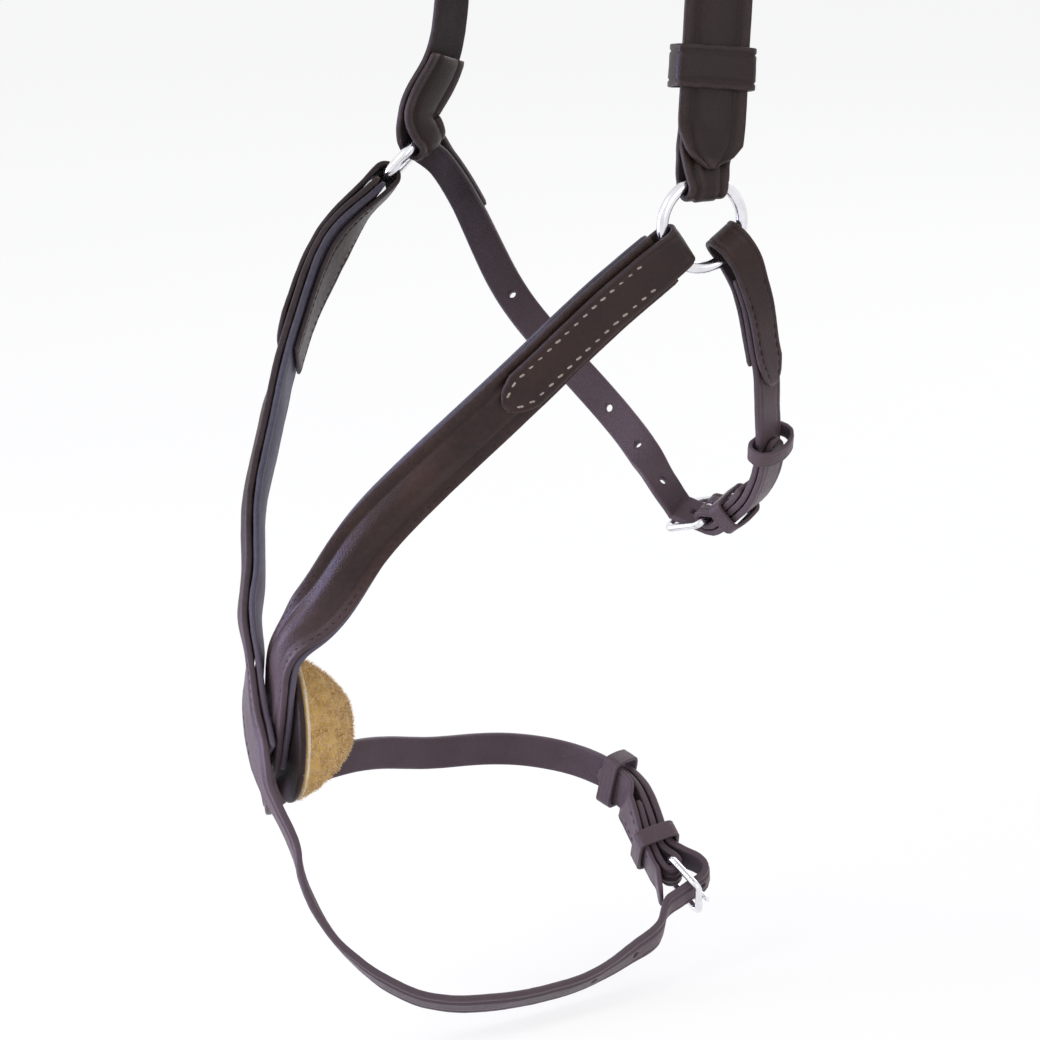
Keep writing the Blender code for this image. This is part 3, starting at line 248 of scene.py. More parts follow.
class Value:  # an output of a material's graph, with sums on it
    def __init__(self, graph, socket):
        self.graph = graph
        self.socket = socket

    def sum(self, operation, first, second):
        return self.graph.add("ShaderNodeMath", {"operation": operation}, {0: first, 1: second})

    def __add__(self, other):
        return self.sum("ADD", self, other)

    def __sub__(self, other):
        return self.sum("SUBTRACT", self, other)

    def __rsub__(self, other):
        return self.sum("SUBTRACT", other, self)

    def __mul__(self, other):
        return self.sum("MULTIPLY", self, other)

    __radd__ = __add__
    __rmul__ = __mul__


# Noise: its scale and detail, and the values that count as 0 and as 1
patches = {"clouds": (38.0, 4.0, 0.32, 0.72), "flecks": (420.0, 2.0, 0.35, 0.75),
           "smears": (150.0, 4.0, 0.3, 0.75), "specks": (2400.0, 2.0, 0.45, 0.8),
           "clumps": (330.0, 4.0, 0.3, 0.72), "tufts": (70.0, 3.0, 0.35, 0.7), "soil": (700.0, 3.0, 0.3, 0.7)}


class Graph:  # the nodes of a material or of the world
    def __init__(self, made, shader="Principled BSDF", **fixed):  # fixed values stay on its own sockets
        self.made = made
        made.use_nodes = True
        self.tree = made.node_tree
        self.shader = self.tree.nodes[shader]
        for socket, value in fixed.items():
            self.shader.inputs[socket.replace("_", " ")].default_value = value

    def add(self, kind, settings=None, inputs=None, output=0):
        node = self.tree.nodes.new(kind)
        for name, value in (settings or {}).items():
            setattr(node, name, value)
        for name, value in (inputs or {}).items():
            self.feed(node.inputs[name], value)
        return Value(self, node.outputs[output])

    def feed(self, socket, value):
        if isinstance(value, Value):
            self.tree.links.new(value.socket, socket)
        else:
            socket.default_value = value

    def show(self, name, value):
        self.feed(self.shader.inputs[name], value)

    def where(self):
        return self.add("ShaderNodeTexCoord", output="Object")

    def noise(self, scale, detail=3.0, rough=0.55):
        return self.add("ShaderNodeTexNoise", None, {"Vector": self.where(), "Scale": scale, "Detail": detail,
                                                     "Roughness": rough})

    def limits(self, value, low, high):  # 0 at low, 1 at high, and no further
        return self.add("ShaderNodeMapRange", {"clamp": True}, {"Value": value, "From Min": low, "From Max": high})

    def patch(self, name):
        scale, detail, low, high = patches[name]
        return self.limits(self.noise(scale, detail), low, high)

    def mixed(self, share, first, second):
        colours = [value if isinstance(value, Value) else (*value, 1.0) for value in (first, second)]
        return self.add("ShaderNodeMix", {"data_type": "RGBA"}, {0: share, 6: colours[0], 7: colours[1]}, 2)

    def bump(self, height, strength, distance):
        self.show("Normal", self.add("ShaderNodeBump", None, {"Height": height, "Strength": strength,
                                                              "Distance": distance}))


def newLook(name, **fixed):
    return Graph(bpy.data.materials.new(name), **fixed)


# The bluish grey of the cut edges is painted reflection of a cool light
leatherLook = {"brown": (0.066, 0.036, 0.024), "dark": (0.026, 0.0145, 0.011), "wornAndHighlit": (0.125, 0.082, 0.066),
               "edge": (0.052, 0.044, 0.060), "back": (0.036, 0.025, 0.022), "paintedSheen": (0.150, 0.108, 0.128),
               "deepAndPaintedShade": (0.017, 0.011, 0.007), "grain": 1500.0, "paintedSheenFrom": (-0.50, -0.45),
               "jawPaintedSheenFrom": (-0.405, -0.335), "paintedShadeFrom": (-0.40, -0.30), "noPaintedSheen": (-0.90, -0.80)}


def leather(name, main, deep, wornAndHighlit, rough, grain, bumps, paintedSheen=leatherLook["paintedSheenFrom"], **fixed):
    # painted sheen (lavender, lower down) and painted shade (darker, higher up) come in between two heights
    graph = newLook(name, IOR=1.5, Specular_IOR_Level=0.24, Specular_Tint=(0.78, 0.77, 1.0, 1.0),
                    Sheen_Weight=0.03, Sheen_Roughness=0.4, Sheen_Tint=(0.60, 0.58, 0.95, 1.0), **fixed)
    clouds, flecks = graph.patch("clouds"), graph.patch("flecks")
    # Lighter colour on sharp ridges and edges: partly wear, partly painted highlight
    rubbedAndHighlit = graph.limits(graph.add("ShaderNodeNewGeometry", output="Pointiness"), 0.51, 0.58)
    height = graph.add("ShaderNodeSeparateXYZ", None, {"Vector": graph.where()}, "Z")
    colour = graph.mixed(clouds * 0.7 + flecks * 0.3, deep, main)
    # Painted sheen: below the given heights the leather turns lavender, as a cool reflection shows it
    paintedSheenShare = (1.0 - graph.limits(height, *paintedSheen)) * (0.45 + clouds * 0.25)
    colour = graph.mixed(paintedSheenShare, colour, leatherLook["paintedSheen"])
    # Painted shade: above the given heights the leather darkens towards the darkest brown
    colour = graph.mixed(graph.limits(height, *leatherLook["paintedShadeFrom"]) * 0.72, colour, leatherLook["deepAndPaintedShade"])
    graph.show("Base Color", graph.mixed(rubbedAndHighlit * (0.30 + flecks * 0.5), colour, wornAndHighlit))
    graph.show("Roughness", rough + clouds * 0.12 - rubbedAndHighlit * 0.08 + flecks * 0.08)
    cells = graph.add("ShaderNodeTexVoronoi", None, {"Vector": graph.where(), "Scale": grain})
    pores, wrinkles = graph.limits(cells, 0.05, 0.65), graph.noise(260.0, 5.0, 0.6)
    graph.bump(pores * 0.45 + wrinkles * 0.55, bumps, 0.0005)
    return graph.made


def nickel():
    graph = newLook("bright_nickel", Metallic=1.0)
    smears, specks = graph.patch("smears"), graph.patch("specks")
    graph.show("Base Color", graph.mixed(smears, (0.88, 0.88, 0.90), (0.72, 0.71, 0.76)))
    graph.show("Roughness", 0.10 + smears * 0.12 + specks * 0.08)
    graph.bump(specks + smears * 0.4, 0.06, 0.0002)
    return graph.made


def wool(name, root, tip, rough):
    graph = newLook(name, Sheen_Weight=0.25, Sheen_Roughness=0.6, Sheen_Tint=(1.0, 0.93, 0.78, 1.0),
                    Specular_IOR_Level=0.15)
    clumps = graph.patch("clumps")
    graph.show("Base Color", graph.mixed(clumps * 0.65 + graph.patch("tufts") * 0.35, root, tip))
    graph.show("Roughness", rough + clumps * 0.05)
    graph.bump(graph.noise(1400.0, 4.0), 0.6, 0.0006)
    return graph.made


def thread(name, pale, deep):
    graph = newLook(name, Specular_IOR_Level=0.3)
    soil = graph.patch("soil")
    graph.show("Base Color", graph.mixed(soil, pale, deep))
    graph.show("Roughness", 0.7 + soil * 0.15)
    graph.bump(graph.noise(5200.0, 2.0), 0.5, 0.0002)
    return graph.made


def leatherSet(label, paintedSheen):  # grain side, cut edges and flesh side of the same hide
    look, grain = leatherLook, leatherLook["grain"]
    return (leather(label + "grain_leather", look["brown"], look["dark"], look["wornAndHighlit"], 0.34, grain, 0.42, paintedSheen,
                    Coat_Roughness=0.3, Coat_Weight=0.04),
            leather(label + "cut_edge", look["edge"], look["dark"], look["wornAndHighlit"], 0.40, grain * 1.6, 0.25, paintedSheen,
                    Coat_Roughness=0.4, Coat_Weight=0.05),
            leather(label + "flesh_side", look["back"], look["dark"], look["edge"], 0.60, grain * 1.3, 0.55, paintedSheen))


grainSide, cutEdge, fleshSide = range(3)  # their places in a piece's material slots
# Two sets of the same hide, whose painted lavender sheen starts at different heights
leatherSlots = leatherSet("", leatherLook["paintedSheenFrom"])
jawSlots = leatherSet("jaw_", leatherLook["jawPaintedSheenFrom"])
discLeather = leather("disc_leather", leatherLook["dark"], leatherLook["deepAndPaintedShade"], leatherLook["brown"], 0.45,
                      leatherLook["grain"], 0.35, leatherLook["noPaintedSheen"], Coat_Roughness=0.4, Coat_Weight=0.02)
# Lining leather: its bluish tone is painted reflection of a cool light
softLeather = leather("lining_leather", (0.115, 0.108, 0.150), (0.062, 0.056, 0.080), (0.150, 0.140, 0.180),
                      0.46, 950.0, 0.45, Coat_Roughness=0.5, Coat_Weight=0.05)
metalLook = nickel()
paleThread = thread("pale_thread", (0.54, 0.47, 0.41), (0.32, 0.26, 0.22))
darkThread = thread("dark_thread", (0.050, 0.036, 0.034), (0.022, 0.017, 0.018))
fleeceRoot = wool("fleece_wool", (0.54, 0.32, 0.088), (0.75, 0.50, 0.19), 0.92)
fleeceTip = wool("fleece_tips", (0.78, 0.56, 0.27), (0.92, 0.82, 0.64), 0.9)
print("materials made")


# Making pieces

def added(name, data):
    made = bpy.data.objects.new(name, data)
    bpy.context.scene.collection.objects.link(made)
    return made


def place(name, mesh, slots, body="root", slot=None, node=None):
    made = added(name, mesh)
    for look in slots:
        mesh.materials.append(look)
    mesh.shade_smooth()
    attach(made, body)
    if node:
        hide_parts(node)
    return made


def closedMesh(name, verts, faces, finishes=None):
    mesh = bpy.data.meshes.new(name)
    mesh.from_pydata([tuple(vert) for vert in verts], [], faces)
    if finishes:
        mesh.polygons.foreach_set("material_index", finishes)
    solid = bmesh.new()
    solid.from_mesh(mesh)
    bmesh.ops.recalc_face_normals(solid, faces=solid.faces)
    if solid.calc_volume(signed=True) < 0:
        bmesh.ops.reverse_faces(solid, faces=solid.faces)
    solid.to_mesh(mesh)
    solid.free()
    return mesh


def skin(around, count, closed=False, turn=0):
    # Faces between neighbouring rings of points, then an end face each where it is open
    faces = []
    for i in range(count if closed else count - 1):
        low, high = i * around, (i + 1) % count * around
        lag = turn if i == count - 1 else 0
        for j in range(around):
            beside = (j + 1) % around
            faces.append((low + (j + lag) % around, low + (beside + lag) % around, high + beside, high + j))
    if not closed:
        faces += [tuple(range(around)), tuple(range((count - 1) * around, count * around))]
    return faces


def domed(name, first, rings, last):  # closed skin through rings, gathered to a point at each end
    around, count = len(rings[0]), len(rings)
    verts = [spot + shift for ring in rings for spot in ring] + [first + shift, last + shift]
    faces = skin(around, count)[:-2]
    for pole, base in ((count * around, 0), (count * around + 1, (count - 1) * around)):
        faces += [(pole, base + j, base + (j + 1) % around) for j in range(around)]
    return closedMesh(name, verts, faces)


def uneven(spot, waves):  # waves are how many go in a metre, and how high they are
    return sum(noise.noise(Vector(spot * count)) * height for count, height in waves)


# Rounding, and the crease beside each edge: how far in, how deep, how wide, and the border's drop
plainShape = {"round": 0.0007, "crease": 0.0019, "deep": 0.00030, "wide": 0.0005}
paddedShape = {"round": 0.0008, "crease": 0.0050, "deep": 0.00045, "wide": 0.0008, "drop": 0.0005}
raisedShape = {"round": 0.0008, "crease": 0.0074, "deep": 0.00085, "wide": 0.0011, "drop": 0.0006}
softShape = {"round": 0.0011, "crease": 0.0022, "deep": 0.0003, "wide": 0.0006}
keeperShape = {"round": 0.0005, "crease": 0.0013, "deep": 0.00022, "wide": 0.0004}
broadShape = {"round": 0.0006, "crease": 0.0027, "deep": 0.0005, "wide": 0.0008}
crownShares = (-0.86, -0.66, -0.44, -0.22, 0.0, 0.22, 0.44, 0.66, 0.86)
hide = {"waves": ((95.0, 0.00022), (420.0, 0.00007)), "endThick": 0.62, "endNarrow": 0.0003}


def section(half, thick, crown, shape, scale):
    # Outline across a strap: place across, height, and the finish up to the next point
    radius = min(shape["round"], 0.4 * thick, 0.2 * half) * scale
    tall = thick / 2 * scale
    border = tall - shape.get("drop", 0.0) * min(1.0, half / 0.009) * scale
    crease = min(shape["crease"], 0.42 * half)
    groove = min(shape["wide"], 0.4 * (crease - radius))
    deep = shape["deep"] * min(1.0, half / 0.006) * scale
    inner = radius - half
    swings = [math.pi / 6 * part for part in range(4)]
    outline = [(inner - radius * math.sin(swing), -tall + radius - radius * math.cos(swing), cutEdge)
               for swing in swings]
    outline += [(inner - radius * math.cos(swing), border - radius + radius * math.sin(swing),
                 cutEdge if part < 2 else grainSide) for part, swing in enumerate(swings)]
    rim = half - crease - 2 * groove
    notch = [(half - crease + groove, border - tall), (half - crease, border - tall - deep),
             (half - crease - groove, 0.0)]
    right = [(-x, y, cutEdge) for x, y, finish in reversed(outline)]
    right[-1] = (*right[-1][:2], fleshSide)
    outline += [(-x, tall + y, grainSide) for x, y in notch]
    outline += [(share * rim, tall + crown * scale * (1.0 - abs(share) ** 2.6), grainSide) for share in crownShares]
    outline += [(x, tall + y, grainSide) for x, y in reversed(notch)] + right
    return outline + [(-share / 4 * inner, -tall, fleshSide) for share in (3, 2, 1, 0, -1, -2, -3)]


def strap(name, node, rows, thick, slots=leatherSlots, body="root", slot="brown_leather", shape=plainShape,
          grain=1.0, crown=level(0.0), closed=False):
    # Sweeps the section along the rows; grain is the side that looks out, crown the swell at a run
    kept = [rows[0]]
    for row in rows[1:]:
        last = kept[-1]
        apart = np.linalg.norm(row[0] - last[0])
        parts = int(apart / (2 * fine["step"]))
        for share in (part / (parts + 1) for part in range(1, parts + 1)):
            kept.append(tuple(a * (1 - share) + b * share for a, b in zip(last, row)))
        if apart > 0.0001:
            kept.append(row)
    centres = np.array([row[0] for row in kept])
    sides = np.array([unit(row[1]) for row in kept])
    normals = unit(np.cross(sides, directions(centres, closed))) * grain
    verts, count = [], len(kept)
    for i, run in enumerate(distances(centres)):
        ending = not closed and i in (0, count - 1)
        outline = section(kept[i][2] - (hide["endNarrow"] if ending else 0.0), thick, crown(run), shape,
                          hide["endThick"] if ending else 1.0)
        for x, y, finish in outline:
            spot = centres[i] + sides[i] * x
            verts.append(spot + shift + normals[i] * (y + uneven(spot, hide["waves"])))
    finishes = [finish for x, y, finish in outline] * (count if closed else count - 1)
    finishes += [] if closed else [cutEdge, cutEdge]
    mesh = closedMesh(name, verts, skin(len(outline), count, closed), finishes)
    return place(name, mesh, slots, body, slot, node)


def tube(name, points, radii, sides, look, body, slot, node=None, closed=True):
    # Round wire through points; an open one ends in caps
    points = np.array(points)
    ahead = directions(points, closed)
    normal = unit(np.cross(ahead[0], (0.31, 0.52, 0.79)))
    verts = []
    for spot, way, radius in zip(points, ahead, radii):
        normal = unit(normal - (normal @ way) * way)
        across = np.cross(way, normal)
        for angle in (2 * math.pi * j / sides for j in range(sides)):
            verts.append(spot + shift + radius * (normal * math.cos(angle) + across * math.sin(angle)))
    # The last ring of a loop is matched to the first by its nearest point
    turn = int(np.argmin([np.linalg.norm(vert - verts[0]) for vert in verts[-sides:]])) if closed else 0
    mesh = closedMesh(name, verts, skin(sides, len(points), closed, turn))
    return place(name, mesh, (look,), body, slot, node)


def cutOut(target, cutters):  # real holes and slots through the leather
    for tool in cutters:
        tool.data.materials.append(target.data.materials[cutEdge])
        modifier = target.modifiers.new("cut", "BOOLEAN")
        modifier.operation = "DIFFERENCE"
        modifier.material_mode = "TRANSFER"
        modifier.object = tool
    bpy.context.view_layer.update()
    old = target.data
    target.data = bpy.data.meshes.new_from_object(target.evaluated_get(bpy.context.evaluated_depsgraph_get()))
    target.modifiers.clear()
    bpy.data.meshes.remove(old)
    target.data.shade_smooth()
    for tool in cutters:
        bpy.data.objects.remove(tool, do_unlink=True)


def cutter(build, seat):
    shape = bmesh.new()
    build(shape)
    mesh = bpy.data.meshes.new("cutter")
    shape.to_mesh(mesh)
    shape.free()
    made = added("cutter", mesh)
    made.matrix_world = seat.matrix()
    return made


holes = {"radius": 0.0015, "chinPitch": 0.025, "jawPitch": 0.0205, "headPitch": 0.025}


def punches(route, pitch, first, count, reach):  # a row of round holes
    def build(shape):
        bmesh.ops.create_cone(shape, cap_ends=True, segments=20, radius1=holes["radius"],
                              radius2=holes["radius"], depth=2 * reach)
    return [cutter(build, route.seat(pitch * (first + i))) for i in range(count)]


def slotCutter(seat, runs, rises, width):
    def build(shape):
        bmesh.ops.create_cube(shape, size=1.0)
        for vert in shape.verts:
            vert.co = Vector((runs[0] + (vert.co.x + 0.5) * (runs[1] - runs[0]), vert.co.y * width,
                              rises[0] + (vert.co.z + 0.5) * (rises[1] - rises[0])))
    return cutter(build, seat)


# Threads: pitch, length and thickness; a stitch's own rings along it, lean, bed in the leather and flatness
stitchSize = {"pale": (0.0045, 0.0033, 0.00050), "dark": (0.0034, 0.0024, 0.00032), "lean": 11.0, "sides": 6,
              "rings": ((-1.0, 0.15), (-0.82, 0.75), (-0.4, 1.0), (0.4, 1.0), (0.82, 0.75), (1.0, 0.15)),
              "bed": 0.3, "dip": 0.9, "flat": 0.8}
seamInset = {"chape": 0.0031, "lining": 0.0024, "edge": 0.0022, "roll": 0.0020, "narrow": 0.0018}
seamLines = {"pale": [], "dark": []}


def stitches(name, lines, look, size):
    # Each line is a list of (place, outward); a short thread lies along it at each stitch
    pitch, length, thick = size
    rings, sides = stitchSize["rings"], stitchSize["sides"]
    lean = math.radians(stitchSize["lean"])
    angles = [2 * math.pi * j / sides for j in range(sides)]
    verts, faces = [], []
    for line in lines:
        places, outs = (np.array(column) for column in zip(*line))
        runs = distances(places)
        count = int(runs[-1] / pitch)
        for run in ((i + 0.5) * runs[-1] / count for i in range(count)):
            ends = [between(run + way, runs, places) for way in (-0.0004, 0.0004)]
            ahead = unit(ends[1] - ends[0])
            out = unit(between(run, runs, outs))
            way = ahead * math.cos(lean) + np.cross(ahead, out) * math.sin(lean)
            beside = np.cross(out, way)
            base = len(verts)
            for along, wide in rings:
                sunk = thick * (stitchSize["dip"] * along ** 4 + stitchSize["bed"])
                spot = (ends[0] + ends[1]) / 2 + way * along * length / 2 - out * sunk
                verts += [spot + shift + thick * wide * (out * math.cos(angle) * stitchSize["flat"]
                                                         + beside * math.sin(angle)) for angle in angles]
            faces += [tuple(base + corner for corner in face) for face in skin(sides, len(rings))]
    return place(name, closedMesh(name, verts, faces), (look,))


def seam(shade, route, start, end, clear, rise, half, inset, out=1.0):
    # A line of stitches beside each edge of a strap, clear of its start and end
    start, end = start + clear[0], end - clear[1]
    for side in (-1.0, 1.0):
        line = []
        for run in np.linspace(start, end, max(3, int(abs(end - start) / fine["step"]))):
            reach = half(run) - seamInset[inset]
            if reach > 0.0005:
                line.append((route.place(run, rise(run), side * reach), route.frame(run)[1] * out))
        seamLines[shade].append(line)


def outlineOf(halfWidth, halfHeight, corner, gap):  # rounded rectangle, with points no further apart
    bends, points = [], []
    for part in range(36):  # nine points to each corner
        quarter = part // 9
        angle = math.pi / 2 * (quarter + part % 9 / 8)
        x = halfWidth - corner if quarter in (0, 3) else corner - halfWidth
        y = halfHeight - corner if quarter in (0, 1) else corner - halfHeight
        bends.append((x + corner * math.cos(angle), y + corner * math.sin(angle)))
    for (x, y), (nextX, nextY) in zip(bends, bends[1:] + bends[:1]):
        parts = max(1, int(math.hypot(nextX - x, nextY - y) / gap))
        points += [(x + (nextX - x) * k / parts, y + (nextY - y) * k / parts) for k in range(parts)]
    return points


keeperSize = {"length": 0.007, "headLength": 0.016, "thick": 0.0016, "play": 0.0007, "corner": 0.0012,
              "fixedBack": 0.0125, "headFixedBack": 0.016, "headRunner": 0.056, "jawRunner": 0.057,
              "chinRunner": 0.047, "gap": 0.0016, "bow": 0.0006, "jawBow": 0.0022, "wave": 0.012}


def keeper(name, seat, low, high, half, length=keeperSize["length"], body="root", shape=keeperShape,
           bow=keeperSize["bow"], slots=leatherSlots):
    # Leather band: the section runs along the strap, and its path goes round the layers
    middle = seat.moved(0.0, (low + high) / 2)
    margin = keeperSize["play"] + keeperSize["thick"] / 2
    wide, tall = half + margin, (high - low) / 2 + margin
    rows = []
    for x, y in outlineOf(wide, tall, keeperSize["corner"] + keeperSize["thick"] / 2, keeperSize["gap"]):
        wave = 1.0 + keeperSize["wave"] * math.sin(9.0 * x / half + 3.0 * y / half)
        y += bow * max(0.0, 1.0 - (x / wide) ** 2) if y > 0 else 0.0
        x += math.copysign(bow * 0.7, x) * max(0.0, 1.0 - (y / tall) ** 2)
        rows.append((middle.place(0.0, y, -x), middle.along, length / 2 * wave))
    return strap(name, name[:-len("_band")], rows, keeperSize["thick"], slots, body, shape=shape, grain=-1.0,
                 closed=True)


# Rings

ringSize = {"radius": 0.0165, "wire": 0.0045, "lead": 0.006, "foldWidth": 0.016, "points": 120,
            "weldAt": 30, "weldWide": 2.2, "weldProud": 0.05}


class Ring:
    def __init__(self, name, centre, face):
        self.centre = centre
        self.face = unit(face)
        across = unit(np.cross(self.face, (0.0, 0.6, 0.8)))
        up = np.cross(self.face, across)
        points, radii = [], []
        for i in range(ringSize["points"]):
            angle = 2 * math.pi * i / ringSize["points"]
            points.append(centre + ringSize["radius"] * (across * math.cos(angle) + up * math.sin(angle)))
            weld = math.exp(-((i - ringSize["weldAt"]) / ringSize["weldWide"]) ** 2)
            radii.append(ringSize["wire"] / 2 * (1.0 + ringSize["weldProud"] * weld))
        tube(name + "_wire", points, radii, 24, metalLook, name, "bright_nickel", name)

    def sag(self, width):
        return ringSize["radius"] - math.sqrt(ringSize["radius"] ** 2 - (width / 2) ** 2)

    def start(self, way, width, rise, face=None):
        look = self.face if face is None else face
        return self.centre + way * (ringSize["radius"] - self.sag(width) / 2) - look * rise

    def foldRadius(self, width, thickness):
        slant = math.sqrt(1.0 - (width / 2 / ringSize["radius"]) ** 2)
        inside = ringSize["wire"] / 2 / slant + self.sag(width) / 2 + gaps["touch"]
        return inside / math.cos(math.pi / 16) + thickness / 2


def leaving(way, wanted, looks):  # how a strap leaves the far ring's wire, and its face there
    side = np.cross(farRing.face, way)
    leave = unit(wanted - (wanted @ side) * side)
    face = np.cross(side, leave)
    return leave, -face if face @ looks < 0 else face


nearRing = Ring("near_ring", vec(layout["halfSpan"], 0.0, 0.0), turned(layout["ringTurn"]))
farRing = Ring("far_ring", vec(-layout["halfSpan"], 0.0, 0.0), vec(-0.563, -0.49, 0.662))
nearLevel = unit(np.cross(vec(0.0, 0.0, 1.0), nearRing.face))
farUp = unit(np.cross(farRing.face, np.cross(vec(0.276, 0.643, 0.711), farRing.face)))
farForward = np.cross(farUp, farRing.face)


# Buckles

buckleSize = {"wire": 0.003, "length": 0.018, "play": 0.0008, "corner": 0.0025, "tongue": 0.0018,
              "overhang": 0.0014, "leg": 0.030, "billetPlay": 0.0023, "slotPlay": 0.0005, "gap": 0.0012,
              "past": 0.004, "eyeTurn": 270.0}
frameLength = buckleSize["length"]


class Buckle:  # its seat lies on the folded strap's outer leg, straight over the heel bar
    def __init__(self, name, seat, thick, width, flat=True):
        bar = buckleSize["wire"] / 2
        self.name, self.seat, self.thick = name, seat, thick
        self.pitch = thick + gaps["layer"]  # folded leg to folded leg, and to the billet on them
        self.heel = -self.pitch / 2
        self.fold = bar + gaps["touch"] + thick / 2
        self.over = self.fold + thick + gaps["touch"]
        self.toe = thick / 2 + 2 * gaps["touch"] + bar if flat else self.heel
        self.landing = frameLength - bar - thick / 2
        self.slotWidth = buckleSize["tongue"] + 2 * buckleSize["slotPlay"]
        self.axle = seat.moved(0.0, self.heel)
        self.lift = self.toe - self.heel
        self.frame(width)
        self.tongue()

    def wire(self, part, *shape, **more):
        tube(f"{self.name}_{part}_wire", *shape, metalLook, f"{self.name}_{part}", "bright_nickel",
             f"{self.name}_buckle_{part}", **more)

    def frame(self, width):
        reach = math.hypot(frameLength, self.lift)
        points = []
        for forward, side in outlineOf(reach / 2, (width + buckleSize["wire"]) / 2 + buckleSize["play"],
                                       buckleSize["corner"], buckleSize["gap"]):
            share = (forward + reach / 2) / reach
            points.append(self.axle.place(frameLength * share, self.lift * share, side))
        self.wire("frame", points, [buckleSize["wire"] / 2] * len(points), 18)

    def tongue(self):
        half = buckleSize["tongue"] / 2
        self.eye = eye = buckleSize["wire"] / 2 + gaps["touch"] + half
        over = self.lift + eye / math.cos(math.atan2(self.lift, frameLength))
        reach = math.hypot(frameLength, over)
        self.lean = lean = math.atan2(over, frameLength) - math.asin(eye / reach)
        tip = math.sqrt(reach ** 2 - eye ** 2) + buckleSize["wire"] / 2 + buckleSize["overhang"]
        root = math.pi / 2 + lean
        points, radii = [], []
        for along in np.linspace(tip, 0.0, 22, endpoint=False):  # the shank, narrower at its tip
            points.append(self.axle.place(eye * math.cos(root) + along * math.cos(lean),
                                          eye * math.sin(root) + along * math.sin(lean)))
            radii.append(half * min(1.0, 0.35 + 0.65 * math.sqrt(min(1.0, (tip - along) / half / 1.6))))
        for part in range(33):  # the eye round the heel bar
            angle = root + math.radians(buckleSize["eyeTurn"]) * part / 32
            points.append(self.axle.place(eye * math.cos(angle), eye * math.sin(angle)))
            radii.append(half * (1.0 if part < 31 else 0.8))
        self.wire("tongue", points, radii, 14, closed=False)

    def tongueRise(self, run):
        return self.heel + (self.eye + run * math.sin(self.lean)) / math.cos(self.lean)

    def opening(self, length):
        return lambda run: (self.fold - self.pitch / 2) * smooth((run - length + gaps["spread"]) / gaps["spread"])

    def turnBack(self, route, half):  # round the heel bar and back underneath
        opening = self.opening(route.length)
        return (fold(route, route.length, self.heel, self.fold, 1.0, half)
                + route.rows(route.length, route.length - buckleSize["leg"],
                             lambda run: -self.pitch - opening(run), level(half)))

    def chapeSlot(self):
        reach = self.fold + self.thick / 2 + buckleSize["past"]
        return slotCutter(self.axle, (-gaps["spread"] / 2, reach), (-reach, reach), self.slotWidth)

    def flatBillet(self, half):
        distance = math.hypot(self.landing, self.heel)
        turn = math.pi / 2 - math.atan2(-self.heel, self.landing) - math.acos(self.over / distance)
        self.slope = math.tan(turn)
        swings = [turn * part / 12 for part in range(13)]
        return [self.axle.row(self.over * math.sin(swing), self.over * math.cos(swing), half)
                for swing in swings] + [self.seat.row(self.landing, 0.0, half)]

    def flatSlot(self):
        return slotCutter(self.seat, (gaps["touch"], self.landing * 0.72),
                          (-self.thick, self.over + buckleSize["past"]), self.slotWidth)


# Widths and thicknesses of the leathers
front = {"width": 0.022, "thick": 0.003, "lining": 0.0025, "start": 0.0048, "entryPlay": (0.0014, 0.0038),
         "narrowing": (0.85, 0.45)}
chape = {"width": 0.017, "thick": 0.002, "length": 0.087, "inner": 0.094}
narrow = {"width": 0.013, "thick": 0.0025}
cheekSize = {"width": 0.0215, "thick": 0.003, "return": 0.058}
headSize = {"width": 0.026, "tipRise": 0.0215, "return": 0.036, "padding": 0.34, "crown": 0.0004, "over": 1.06}
pad = {"halfWidth": 0.022, "halfHeight": 0.029, "disc": 0.0025, "fleece": 0.024, "inset": 0.001, "cut": 0.93}

halfSpan, noseReach, noseDrop = layout["halfSpan"], layout["noseReach"], layout["noseDrop"]
padSeat = Seat(vec(0.0, -noseReach, -noseDrop), vec(0.0, 0.0, -1.0), turned(layout["padTurn"]))
cheekSeat = Seat(vec(0.868 * halfSpan, 0.387 * layout["pollBack"], layout["buckleRise"]),
                 vec(-0.134, 0.171, 0.976), turned(67.0))
jawSeat = Seat(vec(0.564 * halfSpan, 0.99 * layout["jawBack"], -layout["jawDrop"]),
               vec(-0.965, -0.19, -0.02), vec(-0.177, 0.40, -0.86))
chinSeat = Seat(vec(0.484 * layout["chinHalfWidth"], layout["chinBack"] + front["thick"] / 2,
                    -0.909 * layout["chinDrop"]), vec(0.848, 0.107, -0.514), vec(0.136, 0.882, 0.409))
cheekBuckle = Buckle("cheek", cheekSeat, cheekSize["thick"], headSize["width"])
jawBuckle = Buckle("jaw", jawSeat, narrow["thick"], narrow["width"])
chinBuckle = Buckle("chin", chinSeat, front["thick"], narrow["width"], flat=False)
cheekPitch = cheekBuckle.pitch
print("rings and buckles made")


# Where the straps run: shares of the layout's sizes, as the frame has them

